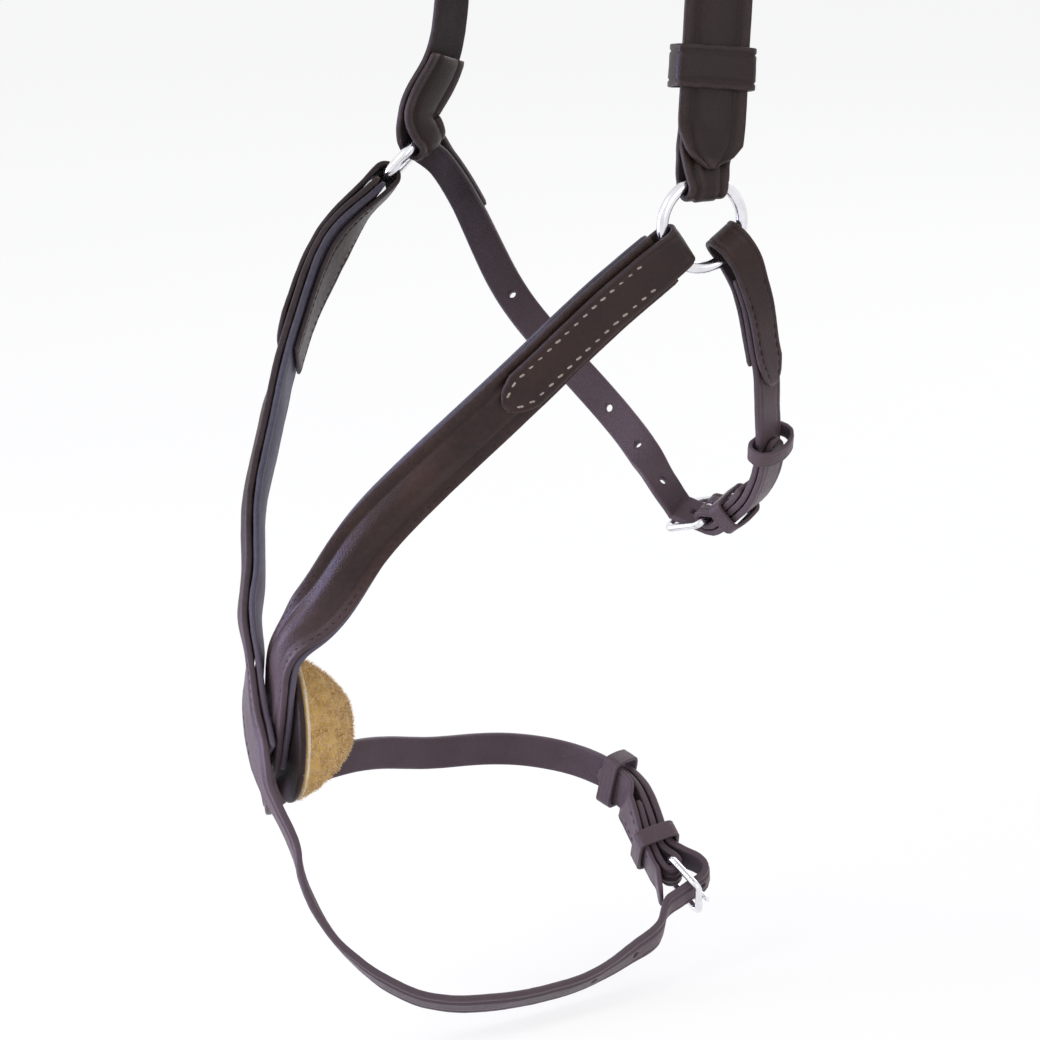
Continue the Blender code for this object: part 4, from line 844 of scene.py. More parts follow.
noseShares = ((0.936, 0.330, 0.147), (0.830, 0.505, 0.259), (0.686, 0.661, 0.375), (0.521, 0.806, 0.494),
              (0.378, 0.930, 0.613), (0.234, 1.010, 0.738))
nearNoseTurns = (78.0, 76.0, 71.0, 62.0, 45.0, 19.0)
farNoseTurns = (-45.0, -41.0, -40.0, -40.0, -40.0, -41.0)
nearPadShares = ((0.75, 1.41, 0.40), (0.46, 0.98, 1.0), (0.25, 0.48, 1.0), (0.0, 0.0, 1.0), (-0.27, -0.48, 1.0),
                 (-0.56, -0.95, 0.86), (-0.86, -1.12, 0.45))
nearPadTurns = (layout["padTurn"],) * 7
farPadShares = ((-0.59, 1.41, 0.93), (-0.33, 0.97, 0.97), (-0.20, 0.48, 1.05), (-0.045, 0.0, 1.03),
                (0.32, -0.41, 1.0), (0.52, -0.69, 0.92), (0.64, -0.93, 0.70))
farPadTurns = (-42.0, -37.0, -25.0) + (layout["padTurn"],) * 4
farChinShares = ((-0.52, 0.848, 0.753), (-0.69, 0.55, 0.744), (-0.82, 0.355, 0.757), (-0.91, 0.17, 0.774),
                 (-0.87, -0.295, 0.785), (-0.655, -0.812, 0.798), (-0.29, -0.99, 0.810), (0.0, -1.06, 0.832))
farChinFaces = ((-0.97, -0.26, 0.0), (-1.0, 0.0, 0.0), (-1.0, 0.05, 0.0), (-0.99, 0.1, 0.0), (-0.9, 0.42, 0.0),
                (-0.57, 0.82, 0.0), (-0.26, 0.96, 0.05), (-0.05, 0.96, 0.2))
nearChinShares = ((0.31, 1.066, 0.790), (0.436, 1.078, 0.822), (0.60, 1.082, 0.854), (0.745, 1.053, 0.889),
                  (0.873, 0.975, 0.929), (0.98, 0.78, 0.98), (1.018, 0.64, 0.994), (1.018, 0.411, 1.003),
                  (0.964, 0.16, 1.001), (0.855, -0.227, 0.983), (0.782, -0.546, 0.970))
nearChinFaces = ((-0.40, -0.90, -0.10), (-0.50, -0.80, -0.32), (-0.42, -0.75, -0.50), (-0.20, -0.68, -0.70),
                 (0.10, -0.50, -0.86), (0.45, -0.20, -0.87), (0.60, -0.03, -0.80), (0.65, 0.0, -0.76),
                 (0.72, 0.08, -0.69), (0.85, 0.30, -0.43), (0.90, 0.25, -0.36))
jawShares = ((1.067, 0.425, 0.173), (1.085, 0.495, 0.270), (1.096, 0.535, 0.364), (1.096, 0.600, 0.459),
             (1.074, 0.658, 0.556), (1.010, 0.798, 0.680), (0.926, 0.918, 0.790), (0.809, 0.998, 0.895),
             (0.690, 1.015, 0.963))
jawFaces = ((0.985, -0.05, 0.0), (0.985, 0.10, 0.0), (0.985, 0.174, 0.0), (0.985, 0.18, -0.05),
            (0.970, 0.20, -0.15), (0.910, 0.25, -0.30), (0.838, 0.295, -0.44), (0.62, 0.36, -0.68),
            (0.30, 0.41, -0.84))
jawCrossShares = ((0.17, 0.812, 0.830), (-0.16, 0.615, 0.617), (-0.489, 0.418, 0.403))
jawCrossFace = vec(-0.532, 0.714, -0.457)
cheekShares = (-0.70, -0.55, -0.35, -0.17, 0.0)
archShares = ((0.81, 0.545, 0.064), (0.745, 0.72, 0.322), (0.67, 0.85, 0.578), (0.54, 0.945, 0.774),
              (0.36, 1.0, 0.910))
archFaces = ((0.95, -0.3, 0.1), (0.95, -0.22, 0.2), (0.9, -0.12, 0.42), (0.75, -0.05, 0.66), (0.45, 0.0, 0.9))
farCheekShares = ((-0.851, 0.391, 1.0), (-0.834, 0.246, 0.60), (-0.849, 0.091, 0.314))
farCheekTurns = (-70.0, -71.0, -72.0)
bulgeShares = ((0.0, -0.10), (0.0, 0.18), (-0.03, 0.32), (-0.12, 0.43), (-0.25, 0.49), (-0.40, 0.49),
               (-0.56, 0.44), (-0.70, 0.37))

nearNoseWay = unit(-0.82 * nearLevel - vec(0.0, 0.0, 0.57))
nearJawWay = unit(0.788 * nearLevel - vec(0.0, 0.0, 0.616))
nearCheekWay = vec(0.0, 0.0, 1.0)
farNoseWay = unit(0.436 * farForward - 0.90 * farUp)
farCheekWay = unit(0.78 * farForward + 0.62 * farUp)
farJawWay = unit(0.62 * farUp - 0.78 * farForward)


# Straps over the nose and under the chin

frontOuter = front["thick"] / 2 + gaps["layer"] + chape["thick"] / 2
frontLining = -(front["thick"] / 2 + gaps["layer"] + front["lining"] / 2)
frontInner = frontLining - front["lining"] / 2 - gaps["layer"] - chape["thick"] / 2
frontFoldRise = (frontOuter + frontInner) / 2
nearPadLevel = pad["disc"] / 2 + gaps["touch"] + front["lining"] / 2 - frontLining
farPadLevel = nearPadLevel + front["thick"] / 2 + gaps["touch"] + front["lining"] / 2 - frontLining
half, ringHalf = narrow["width"] / 2, ringSize["foldWidth"] / 2
frontCrown = {"height": 0.0021, "from": 0.086, "full": 0.118, "fade": 0.062, "end": 0.036}
liningCrown = {"height": 0.0012, "from": 0.092, "full": 0.115, "fade": 0.05, "end": 0.03}
chinTipBack, jawTipBack = 0.054, 0.0605


def noseStops(ring, way, side, turns, padShares, padTurns, padLevel):
    start = ring.start(way, ringSize["foldWidth"], frontFoldRise)
    stops = [(start, ring.face), (start + way * ringSize["lead"], ring.face)]
    stops += [(vec(side * x * halfSpan, -y * noseReach, -z * noseDrop), turned(turn))
              for (x, y, z), turn in zip(noseShares, turns)]
    return stops + [(padSeat.place(-v * pad["halfHeight"], n * padLevel, -h * pad["halfWidth"]), turned(turn))
                    for (h, v, n), turn in zip(padShares, padTurns)]


def chinStops(shares, faces):
    return [(vec(x * layout["chinHalfWidth"], -y * (noseReach if y > 0 else layout["chinBack"]),
                 -z * layout["chinDrop"]), vec(*face)) for (x, y, z), face in zip(shares, faces)]


stops = noseStops(nearRing, nearNoseWay, 1.0, nearNoseTurns, nearPadShares, nearPadTurns, nearPadLevel)
stops += chinStops(farChinShares, farChinFaces)
stops += [(chinSeat.place(-0.6 * gaps["spread"]), chinSeat.face), (chinSeat.place(0.0), chinSeat.face)]
nearNose = Route(stops, nearNoseWay, chinSeat.along)

chinEntry = frameLength - buckleSize["wire"] / 2 - front["thick"] / 2 - buckleSize["billetPlay"]
stops = noseStops(farRing, farNoseWay, -1.0, farNoseTurns, farPadShares, farPadTurns, farPadLevel)
stops += chinStops(nearChinShares, nearChinFaces)
stops += [(chinSeat.place(chinEntry, share * frameLength), chinSeat.along) for share in (-0.69, -0.39)]
farNose = Route(stops, farNoseWay, chinSeat.face)
length = nearNose.length


def crownOver(size, end):
    return lambda run: size["height"] * hump(run, size["from"], size["full"], end - size["fade"],
                                             end - size["end"])


def frontPieces(side, ring, route, padLevel):
    slim, shoulder = (route.nearest(padSeat.place(share * pad["halfHeight"], padLevel))
                      for share in front["narrowing"])
    radius = ring.foldRadius(ringSize["foldWidth"], chape["thick"])
    opening = parted(radius - (frontOuter - frontInner) / 2, gaps["ringSpread"])
    full, frontHalf = chape["width"] / 2, level(front["width"] / 2)
    width = steps((0.0, ringHalf), (gaps["ringSpread"], full), *pointed(chape["length"], 0.0, full))
    innerWidth = steps((0.0, ringHalf), (gaps["ringSpread"], full))
    rows = route.rows(chape["length"], 0.0, lambda run: frontOuter + opening(run), width)
    rows += fold(route, 0.0, frontFoldRise, radius, -1.0, ringHalf)
    rows += route.rows(0.0, chape["inner"], lambda run: frontInner - opening(run), innerWidth)
    strap(side + "_chape_leather", side + "_ring_chape", rows, chape["thick"], grain=-1.0)
    lining = strap(side + "_padded_lining", side + "_front_lining",
                   route.rows(front["start"], shoulder, level(frontLining), frontHalf), front["lining"],
                   (softLeather,) * 3, slot="lining_leather", shape=softShape, grain=-1.0,
                   crown=crownOver(liningCrown, shoulder))
    seam("pale", route, 0.0, chape["length"], (0.014, 0.003),
         lambda run: frontOuter + chape["thick"] / 2 + opening(run), width, "chape")
    seam("dark", route, 0.0, chape["inner"], (0.014, 0.004),
         lambda run: frontInner - chape["thick"] / 2 - opening(run), innerWidth, "lining", -1.0)
    seam("dark", route, chape["length"], shoulder, (0.004, 0.004),
         level(front["thick"] / 2 - paddedShape["drop"]), frontHalf, "edge")
    return steps((shoulder, front["width"] / 2), (slim, half)), crownOver(frontCrown, shoulder)


width, crown = frontPieces("near", nearRing, nearNose, nearPadLevel)
opening = chinBuckle.opening(length)
rows = nearNose.rows(front["start"], length, opening, width) + chinBuckle.turnBack(nearNose, half)
nearFront = strap("near_front_leather", "near_front_strap", rows, front["thick"], shape=paddedShape, crown=crown)
cutOut(nearFront, [chinBuckle.chapeSlot()])


def chinBilletRise(run):
    behind = (length - run) / gaps["spread"]
    return chinBuckle.pitch + opening(run) + 0.10 * gaps["spread"] * (1.0 - smooth(behind / 1.2))


width, crown = frontPieces("far", farRing, farNose, farPadLevel)
rows = farNose.rows(front["start"], farNose.length, level(0.0), width)
bulge = [chinSeat.row(chinEntry + run * frameLength, rise * frameLength, half, -1.0) for run, rise in bulgeShares]
tip = length - chinTipBack
billetRows = nearNose.rows(length - 0.3 * gaps["spread"], tip, chinBilletRise, steps(*pointed(tip, length, half)),
                           -1.0)
rows += bridge(rows, bulge, billetRows) + billetRows
farFront = strap("far_front_leather", "far_front_strap", rows, front["thick"], shape=paddedShape, crown=crown)
tongueHeight = chinBuckle.tongueRise(chinEntry)
chinSlot = slotCutter(chinSeat, (chinEntry - front["thick"], chinEntry + front["thick"]),
                      (tongueHeight - front["entryPlay"][0], tongueHeight + front["entryPlay"][1]),
                      chinBuckle.slotWidth)
cutOut(farFront, [chinSlot] + punches(farNose, -holes["chinPitch"], 0.55 - farNose.length / holes["chinPitch"], 3,
                                      front["thick"]))
print("nose and chin straps made")


# Safe behind the chin buckle, and the chin keepers

safeSize = {"width": 0.0165, "thick": 0.002, "overhang": 0.009, "hang": 1.15}
outside = -(front["thick"] / 2 + gaps["layer"] + safeSize["thick"] / 2)
inside = outside - chinBuckle.pitch
begin, end = length - keeperSize["chinRunner"] - keeperSize["length"], length + safeSize["overhang"]
legEnd = length - buckleSize["leg"]
safeHeights = steps((begin, outside), (legEnd - 0.7 * gaps["spread"], outside),
                    (legEnd - 0.2 * gaps["spread"], inside), (length, inside), (end, inside - 0.5 * gaps["spread"]))
wide = safeSize["width"] / 2
safeWidths = steps(*pointed(begin, length, wide), (length + safeSize["overhang"] / 2, wide), (end, 0.6 * wide))


def safeHeight(run):
    return safeHeights(run) - safeSize["hang"] * opening(min(run, length))


strap("chin_safe_leather", "chin_buckle_safe", nearNose.rows(begin, end, safeHeight, safeWidths), safeSize["thick"],
      grain=-1.0)
billetTop = chinBuckle.pitch + front["thick"] / 2
keeper("chin_keeper_lower_band", nearNose.seat(length - keeperSize["fixedBack"]), inside - safeSize["thick"] / 2,
       billetTop, wide)
keeper("chin_keeper_upper_band", nearNose.seat(length - keeperSize["chinRunner"]),
       outside - safeSize["thick"] / 2, billetTop, wide, body="chin_runner")
seam("dark", nearNose, legEnd, length, (0.002, 0.006), lambda run: safeHeight(run) - safeSize["thick"] / 2,
     level(half), "narrow", -1.0)


# Cheek strap

headTip = headSize["tipRise"] - ringSize["radius"] + nearRing.sag(ringSize["foldWidth"]) / 2
start = nearRing.start(nearCheekWay, ringSize["foldWidth"], -cheekPitch / 2)
stops = [(start, nearRing.face), (start + nearCheekWay * ringSize["lead"], nearRing.face)]
stops += [(cheekSeat.place(share * layout["buckleRise"]), cheekSeat.face) for share in cheekShares]
cheek = Route(stops, nearCheekWay, cheekSeat.along)
cheekLength = cheek.length
cheekRadius = nearRing.foldRadius(ringSize["foldWidth"], cheekSize["thick"])
cheekHalf, headHalf = cheekSize["width"] / 2, headSize["width"] / 2
cheekWidth = steps((0.0, ringHalf), (gaps["ringSpread"], cheekHalf))
heelOpening = cheekBuckle.opening(cheekLength)
cheekOpening = parted(cheekRadius - cheekPitch / 2, gaps["ringSpread"])


def cheekOuter(run):
    return cheekOpening(run) + heelOpening(run)


def cheekInner(run):
    return -cheekPitch - cheekOuter(run)


rows = cheekBuckle.turnBack(cheek, cheekHalf)[::-1]
rows += cheek.rows(cheekLength, 0.0, cheekOuter, cheekWidth)
rows += fold(cheek, 0.0, -cheekPitch / 2, cheekRadius, -1.0, ringHalf)
rows += cheek.rows(0.0, cheekSize["return"], cheekInner, cheekWidth)
cheekStrap = strap("near_cheek_leather", "near_cheek_strap", rows, cheekSize["thick"], shape=raisedShape, grain=-1.0)
cutOut(cheekStrap, [cheekBuckle.chapeSlot()])


# Headstrap, up over the poll and down the far side the same way

archBase = layout["buckleRise"] + 2.0 * frameLength
mirror = vec(-1.0, 1.0, 1.0)
arch = [(vec(x * halfSpan, y * layout["pollBack"], archBase + z * (layout["pollRise"] - archBase)), vec(*face))
        for (x, y, z), face in zip(archShares, archFaces)]
stops = [(cheekSeat.place(count * frameLength), cheekSeat.face) for count in (1.0, 2.0)] + arch
stops += [(vec(side * layout["pollFlat"] / 2, layout["pollBack"], layout["pollRise"]), vec(0.0, 0.0, 1.0))
          for side in (1.0, -1.0)]
stops += [(spot * mirror, face * mirror) for spot, face in arch[::-1]]
farCheek = [(vec(x * halfSpan, y * layout["pollBack"], z * layout["buckleRise"]), turned(turn))
            for (x, y, z), turn in zip(farCheekShares, farCheekTurns)]
farCheekUp, farCheekFace = leaving(farCheekWay, nearCheekWay, vec(-1.0, 0.0, 0.0))
ringEnd = farRing.start(farCheekWay, ringSize["foldWidth"], -cheekPitch / 2, farCheekFace)
stops += farCheek + [(ringEnd + farCheekUp * ringSize["lead"], farCheekFace), (ringEnd, farCheekFace)]
head = Route(stops, cheekSeat.along, -farCheekUp, layout["pollRise"])
farBegin = head.nearest(farCheek[0][0])


def farOpening(run):
    return cheekOpening(head.length - run)


rows = cheek.rows(headTip, cheekLength, lambda run: cheekPitch + headSize["over"] * cheekOuter(run),
                  steps(*pointed(headTip, cheekLength, headHalf)))[:-1]
headWidth = steps((farBegin - gaps["spread"], headHalf), (farBegin, cheekHalf),
                  (head.length - gaps["ringSpread"], cheekHalf), (head.length, ringHalf))
rows += cheekBuckle.flatBillet(headHalf) + head.rows(0.0, head.length, farOpening, headWidth)
rows += fold(head, head.length, -cheekPitch / 2, cheekRadius, 1.0, ringHalf)
rows += head.rows(head.length, head.length - headSize["return"], lambda run: -cheekPitch - farOpening(run),
                  headWidth)
headstrap = strap("headstrap_leather", "headstrap", rows, cheekSize["thick"], shape=raisedShape,
                  crown=level(headSize["crown"]))
cutOut(headstrap, [cheekBuckle.flatSlot()] + punches(head, holes["headPitch"], 0.5, 2, cheekSize["thick"]))

middle = head.nearest(vec(0.0, layout["pollBack"], layout["pollRise"]))
padding = headSize["padding"] * layout["pollRise"]
under = -(cheekSize["thick"] / 2 + gaps["layer"] + front["lining"] / 2)
pollCrown = {"height": 0.0010, "from": 0.004, "full": 0.02, "fade": 0.02, "end": 0.004}
headLining = strap("headstrap_padding", "headstrap_lining",
                   head.rows(middle - padding, middle + padding, level(under), level(headHalf)), front["lining"],
                   (softLeather,) * 3, slot="lining_leather", shape=softShape, grain=-1.0,
                   crown=crownOver(pollCrown, 2 * padding))
edgeRise = cheekSize["thick"] / 2 - raisedShape["drop"]
seam("dark", head, middle - padding, middle + padding, (0.003, 0.003), level(edgeRise), level(headHalf), "edge")
seam("dark", head, head.length - headSize["return"], head.length, (0.003, 0.012), level(edgeRise),
     level(cheekHalf), "edge")
for start, end, clear in ((0.0, cheekSize["return"], (0.016, 0.003)),
                          (cheekLength - buckleSize["leg"], cheekLength, (0.003, 0.010))):
    seam("dark", cheek, start, end, clear, lambda run: cheekInner(run) - edgeRise, level(cheekHalf), "edge", -1.0)

cheekLow, cheekHigh = -cheekPitch - cheekSize["thick"] / 2, cheekPitch + cheekSize["thick"] / 2
keeper("cheek_keeper_upper_band", cheek.seat(cheekLength - keeperSize["headFixedBack"]), cheekLow, cheekHigh,
       headHalf)
keeper("cheek_keeper_lower_band", cheek.seat(cheekLength - keeperSize["headRunner"]), cheekLow, cheekHigh,
       headHalf, keeperSize["headLength"], "cheek_runner", broadShape)
print("headstrap and cheek strap made")


# Jaw strap

jawSize = {"outer": 0.056, "inner": 0.047, "roll": 0.0052, "spread": 0.018, "start": 0.013, "return": 0.036}


def jawStops(shares, faces):
    return [(vec(x * halfSpan, y * layout["jawBack"], -z * layout["jawDrop"]), vec(*face))
            for (x, y, z), face in zip(shares, faces)]


jawLeave = unit(0.616 * nearLevel - vec(0.0, 0.0, 0.788))
slack = narrow["width"] / 4 * np.linalg.norm(np.cross(nearJawWay, jawLeave))
start = nearRing.start(nearJawWay, narrow["width"], 0.0) - jawLeave * slack
stops = [(start, nearRing.face), (start + jawLeave * ringSize["lead"] / 2, nearRing.face)]
stops += jawStops(jawShares, jawFaces) + [(jawSeat.place(0.0), jawSeat.face)]
jaw = Route(stops, jawLeave, jawSeat.along)
jawLength = jaw.length
rollRadius = jawSize["roll"] + chape["thick"] / 2
jawLeg = (narrow["thick"] + chape["thick"]) / 2 + gaps["layer"]
jawOpening = jawBuckle.opening(jawLength)
rollOpening = parted(rollRadius - jawLeg, jawSize["spread"])
jawChapeWidth = steps(*pointed(jawSize["outer"], 0.0, half))

rows = jaw.rows(jawSize["outer"], 0.0, lambda run: jawLeg + rollOpening(run), jawChapeWidth)
rows += fold(jaw, 0.0, 0.0, rollRadius, -1.0, half)
rows += jaw.rows(0.0, jawSize["inner"], lambda run: -jawLeg - rollOpening(run), level(half))
strap("jaw_chape_roll", "jaw_ring_chape", rows, chape["thick"], jawSlots, grain=-1.0)
rows = jaw.rows(jawSize["start"], jawLength, jawOpening, level(half)) + jawBuckle.turnBack(jaw, half)
jawChape = strap("jaw_buckle_leather", "jaw_chape_strap", rows, narrow["thick"], jawSlots)
cutOut(jawChape, [jawBuckle.chapeSlot()])
chapeFace = jawLeg + chape["thick"] / 2
seam("dark", jaw, 0.0, jawSize["outer"], (0.016, 0.003), lambda run: chapeFace + rollOpening(run), jawChapeWidth,
     "roll")
seam("dark", jaw, 0.0, jawSize["inner"], (0.018, 0.003), lambda run: -chapeFace - rollOpening(run), level(half),
     "roll", -1.0)

billet = jawBuckle.flatBillet(half)
slope = jawBuckle.slope
jawPitch = narrow["thick"] + gaps["layer"]
farJawLeave, farJawFace = leaving(farJawWay, vec(-0.51, -0.38, 0.78), jawCrossFace)
ringEnd = farRing.start(farJawWay, narrow["width"], jawPitch / 2, farJawFace)
stops = [(jawSeat.place(jawBuckle.landing + 0.10 * frameLength, -0.10 * slope * frameLength),
          jawSeat.face + slope * jawSeat.along),
         (jawSeat.place(jawBuckle.landing + 0.27 * frameLength, -0.50 * frameLength),
          jawSeat.face + jawSeat.along * 1.6)]
stops += jawStops(jawCrossShares, (jawCrossFace,) * 3)
stops += [(ringEnd - farJawLeave * ringSize["lead"], farJawFace), (ringEnd, farJawFace)]
cross = Route(stops, stops[1][0] - stops[0][0], farJawLeave)
loopRadius = farRing.foldRadius(narrow["width"], narrow["thick"])
loopParted = parted(loopRadius - jawPitch / 2, gaps["ringSpread"])


def loopOpening(run):
    return loopParted(cross.length - run)


tip = jawLength - jawTipBack
rows = jaw.rows(tip, jawLength, lambda run: jawPitch + headSize["over"] * jawOpening(run),
                steps(*pointed(tip, jawLength, half)))[:-1]
rows += billet + cross.rows(0.0, cross.length, lambda run: -loopOpening(run), level(half))
rows += fold(cross, cross.length, jawPitch / 2, loopRadius, 1.0, half)[::-1]
rows += cross.rows(cross.length, cross.length - jawSize["return"], lambda run: jawPitch + loopOpening(run),
                   level(half))
jawStrap = strap("jaw_strap_leather", "jaw_strap", rows, narrow["thick"], jawSlots)
cutOut(jawStrap, [jawBuckle.flatSlot()] + punches(cross, holes["jawPitch"], 0.6, 6, narrow["thick"]))
seam("dark", cross, cross.length - jawSize["return"], cross.length, (0.003, 0.012),
     lambda run: jawPitch + loopOpening(run) + narrow["thick"] / 2, level(half), "narrow")
jawHigh = jawPitch + narrow["thick"] / 2
keeper("jaw_keeper_lower_band", jaw.seat(jawLength - keeperSize["fixedBack"]), -jawHigh, jawHigh, half,
       slots=jawSlots)
keeper("jaw_keeper_upper_band", jaw.seat(jawLength - keeperSize["jawRunner"]), -narrow["thick"] / 2, jawHigh, half,
       body="jaw_runner", bow=keeperSize["jawBow"], slots=jawSlots)
stitches("pale_stitches", seamLines["pale"], paleThread, stitchSize["pale"])
stitches("dark_stitches", seamLines["dark"], darkThread, stitchSize["dark"])
print("jaw strap and stitches made")


# Nose pad: the disc's rings are shares of its size and of half its thickness

discRings = ((0.55, 1.0), (0.90, 1.0), (0.965, 0.93), (0.99, 0.70), (1.0, 0.35), (1.0, -0.35), (0.99, -0.70),
             (0.965, -0.93), (0.90, -1.0))
discAngles = [2 * math.pi * i / 96 for i in range(96)]
rings = [[padSeat.place(share * pad["halfHeight"] * math.sin(angle), tall * pad["disc"] / 2,
                        share * pad["halfWidth"] * math.cos(angle)) for angle in discAngles]
         for share, tall in discRings]
disc = domed("nose_disc_leather", padSeat.place(0.0, pad["disc"] / 2), rings, padSeat.place(0.0, -pad["disc"] / 2))
place("nose_disc_leather", disc, (discLeather,), slot="brown_leather", node="nose_disc")

fleeceLook = {"around": 150, "rings": 56, "lumps": ((260.0, 0.0013), (900.0, 0.0006)), "hairs": 6500,
              "long": 0.0021, "thick": 0.00013, "point": 0.34, "seed": 11, "flatFrom": 0.82, "rim": 0.0007,
              "rimAt": 0.03}


def fleeceSurface(u, v):  # u goes round, v from the rim at 0 to the middle of the flat back at 1
    lift, flatFrom = math.asin(pad["cut"]), fleeceLook["flatFrom"]
    if v <= flatFrom:
        angle = lift * v / flatFrom
        shrink, deep = math.cos(angle), math.sin(angle)
        tall = shrink + fleeceLook["point"] * min(0.0, 1.0 - 0.9 * deep / pad["cut"] - shrink)
    else:
        shrink, deep = math.cos(lift) * (1.0 - (v - flatFrom) / (1.0 - flatFrom)), pad["cut"]
        tall = shrink * (1.0 - fleeceLook["point"] * (1.0 - 0.1 / math.cos(lift)))
    return padSeat.place(tall * (pad["halfHeight"] - pad["inset"]) * math.sin(u),
                         -pad["disc"] / 2 - gaps["touch"] - deep * pad["fleece"],
                         shrink * (pad["halfWidth"] - pad["inset"]) * math.cos(u))


def fleeceNormal(u, v):
    ahead = fleeceSurface(u, min(0.99, v + 0.01)) - fleeceSurface(u, max(0.0, v - 0.01))
    out = np.cross(fleeceSurface(u + 0.02, v) - fleeceSurface(u - 0.02, v), ahead)
    out = out / max(np.linalg.norm(out), 1e-12)
    away = fleeceSurface(u, v) - padSeat.place(0.0, -0.3 * pad["fleece"])
    return out if out @ away > 0 else -out


def fleeceRings():
    rings = []
    for v in (k / fleeceLook["rings"] for k in range(fleeceLook["rings"])):
        grow = smooth(v / 0.08) * (1.0 if v < 0.80 else 0.35)
        ring = []
        for u in (2 * math.pi * i / fleeceLook["around"] for i in range(fleeceLook["around"])):
            spot = fleeceSurface(u, v)
            ring.append(spot + fleeceNormal(u, v) * uneven(spot, fleeceLook["lumps"]) * grow)
        rings.append(ring)
    return rings


def fleeceHair():
    # Short bent fibres, with pale tips
    chance = np.random.default_rng(fleeceLook["seed"])
    angles = [2 * math.pi * j / 3 for j in range(3)]
    verts, faces, finishes = [], [], []
    while len(verts) < 10 * fleeceLook["hairs"]:
        u = chance.uniform(0.0, 2 * math.pi)
        v = chance.uniform(0.0, 0.86) ** 0.9
        if v > 0.80 and chance.uniform() < 0.5:
            continue
        base, out = fleeceSurface(u, v), fleeceNormal(u, v)
        lean = unit(out + chance.normal(0.0, 0.42, 3))
        curl = unit(lean + chance.normal(0.0, 0.75, 3))
        reach = fleeceLook["long"] * chance.uniform(0.55, 1.0) * (0.55 if v > 0.78 else 1.0)
        across = unit(np.cross(lean, (0.3, 0.5, 0.8)))
        beside = np.cross(lean, across)
        start = len(verts)
        bend = base + lean * reach * 0.45
        spots = (base - out * 0.0008, bend, bend + curl * reach * 0.35)
        for spot, wide in zip(spots, (1.0, 0.8, 0.5)):
            verts += [spot + shift + fleeceLook["thick"] * wide * (across * math.cos(angle)
                                                                   + beside * math.sin(angle)) for angle in angles]
        verts.append(spots[2] + unit(curl + chance.normal(0.0, 0.5, 3)) * reach * 0.3 + shift)
        pale = v < 0.07 or chance.uniform() < 0.35
        for ring in range(2):
            for j in range(3):
                a, b = start + 3 * ring + j, start + 3 * ring + (j + 1) % 3
                faces.append((a, b, b + 3, a + 3))
                finishes.append(1 if pale or ring == 1 and chance.uniform() < 0.5 else 0)
        faces += [(start + 6 + j, start + 6 + (j + 1) % 3, start + 9) for j in range(3)]
        faces.append((start + 2, start + 1, start))
        finishes += [1, 1, 1, 0]
    mesh = bpy.data.meshes.new("fleece_fibres")
    mesh.from_pydata([tuple(vert) for vert in verts], [], faces)
    mesh.polygons.foreach_set("material_index", finishes)
    return mesh


body = domed("fleece_body", padSeat.place(0.0, -pad["disc"] / 2 - gaps["touch"]), fleeceRings(),
             fleeceSurface(0.0, 1.0))
fleece = place("fleece_body", body, (fleeceRoot,), slot="golden_fleece", node="fleece_pad")
fibres = place("fleece_fibres", fleeceHair(), (fleeceRoot, fleeceTip), slot="golden_fleece")
fibres.data.shade_flat()
rim = [fleeceSurface(2 * math.pi * i / 120, fleeceLook["rimAt"]) for i in range(120)]  # the cut edge
tube("fleece_rim", rim, [fleeceLook["rim"]] * len(rim), 8, fleeceTip, "root", "golden_fleece")
print("nose pad made")


# Floor, light and camera

stageSize = {"drop": 0.004, "half": 30.0, "floorWhite": 1.08, "floorShare": 0.72, "sky": 0.55}
cameraSpot = {"from": (1.72715, -1.36151, 0.05722), "to": (0.016417, -0.072381, -0.44431), "lens": 198.0}
lamps = {  # place from the object's middle, size, watts and colour
    "key": ((-0.35, -1.75, 1.10), 0.9, 12.0, (0.98, 0.98, 1.0)),
    "cool": ((-0.62, -0.78, -0.05), 0.6, 9.0, (0.66, 0.64, 1.0)),
    "fill": ((1.7, -0.2, 0.5), 1.3, 5.0, (1.0, 0.95, 0.90)),
    "rim": ((-0.6, 1.6, 1.0), 1.0, 7.0, (1.0, 1.0, 1.0))}


def seen(graph):  # 1 where the picture shows it, straight or in metal or glass, and 0 where it only lights
    rays = graph.add("ShaderNodeLightPath").socket.node.outputs
    names = "Is Camera Ray", "Is Glossy Ray", "Is Transmission Ray"
    camera, glossy, clear = (Value(graph, rays[name]) for name in names)
    return camera.sum("MAXIMUM", camera, glossy.sum("MAXIMUM", glossy, clear))


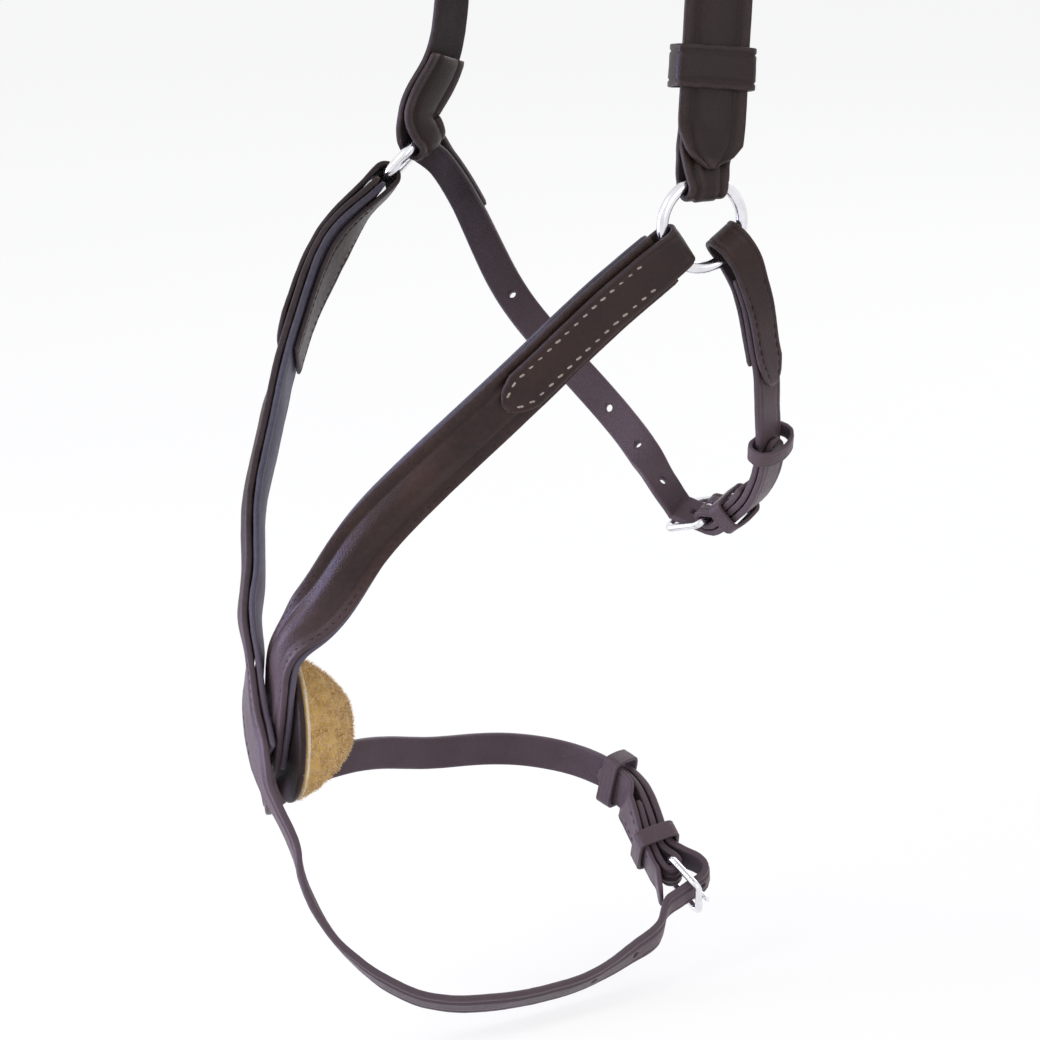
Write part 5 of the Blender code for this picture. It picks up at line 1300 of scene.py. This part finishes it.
def showWhite(graph, kind, strength, share, output):
    # White in that share, beside the shader that lights and takes shadow
    white = graph.add(kind, None, {"Color": (1.0, 1.0, 1.0, 1.0), "Strength": strength})
    own = Value(graph, graph.shader.outputs[0])
    mix = graph.add("ShaderNodeMixShader", None, {0: share, 1: own, 2: white})
    graph.feed(graph.tree.nodes[output].inputs["Surface"], mix)
    return graph.made


def facing(direction):
    return direction.to_track_quat("-Z", "Y").to_euler()


low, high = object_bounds()
reach, bottom = stageSize["half"], low.z - stageSize["drop"]
floorMesh = bpy.data.meshes.new("floor")
floorMesh.from_pydata([(x * reach, y * reach, bottom) for x, y in ((-1, -1), (1, -1), (1, 1), (-1, 1))], [],
                      [(0, 1, 2, 3)])
added("floor", floorMesh)
floorLook = newLook("pale_floor", Roughness=0.9, Specular_IOR_Level=0.0, Base_Color=(0.93, 0.93, 0.93, 1.0))
floorMesh.materials.append(showWhite(floorLook, "ShaderNodeEmission", stageSize["floorWhite"],
                                     seen(floorLook) * stageSize["floorShare"], "Material Output"))
bpy.context.scene.world = bpy.data.worlds.new("studio")
studio = Graph(bpy.context.scene.world, "Background", Color=(0.95, 0.96, 1.0, 1.0), Strength=stageSize["sky"])
showWhite(studio, "ShaderNodeBackground", 1.0, seen(studio), "World Output")

cameraData = bpy.data.cameras.new("camera")
cameraData.lens = cameraSpot["lens"]
cameraData.sensor_width = 36.0
cameraData.clip_start, cameraData.clip_end = 0.1, 50.0
camera = added("camera", cameraData)
camera.location = cameraSpot["from"]
camera.rotation_euler = facing(Vector(cameraSpot["to"]) - Vector(cameraSpot["from"]))
bpy.context.scene.camera = camera

for name, (offset, size, power, tint) in lamps.items():
    lampData = bpy.data.lights.new(name, "AREA")
    lampData.shape = "DISK"
    lampData.size, lampData.energy, lampData.color = size, power, tint
    lamp = added(name, lampData)
    lamp.location = (low + high) / 2 + Vector(offset)
    lamp.rotation_euler = facing(-Vector(offset))

bpy.context.scene.view_settings.view_transform = "Standard"
print("stage, light and camera set")
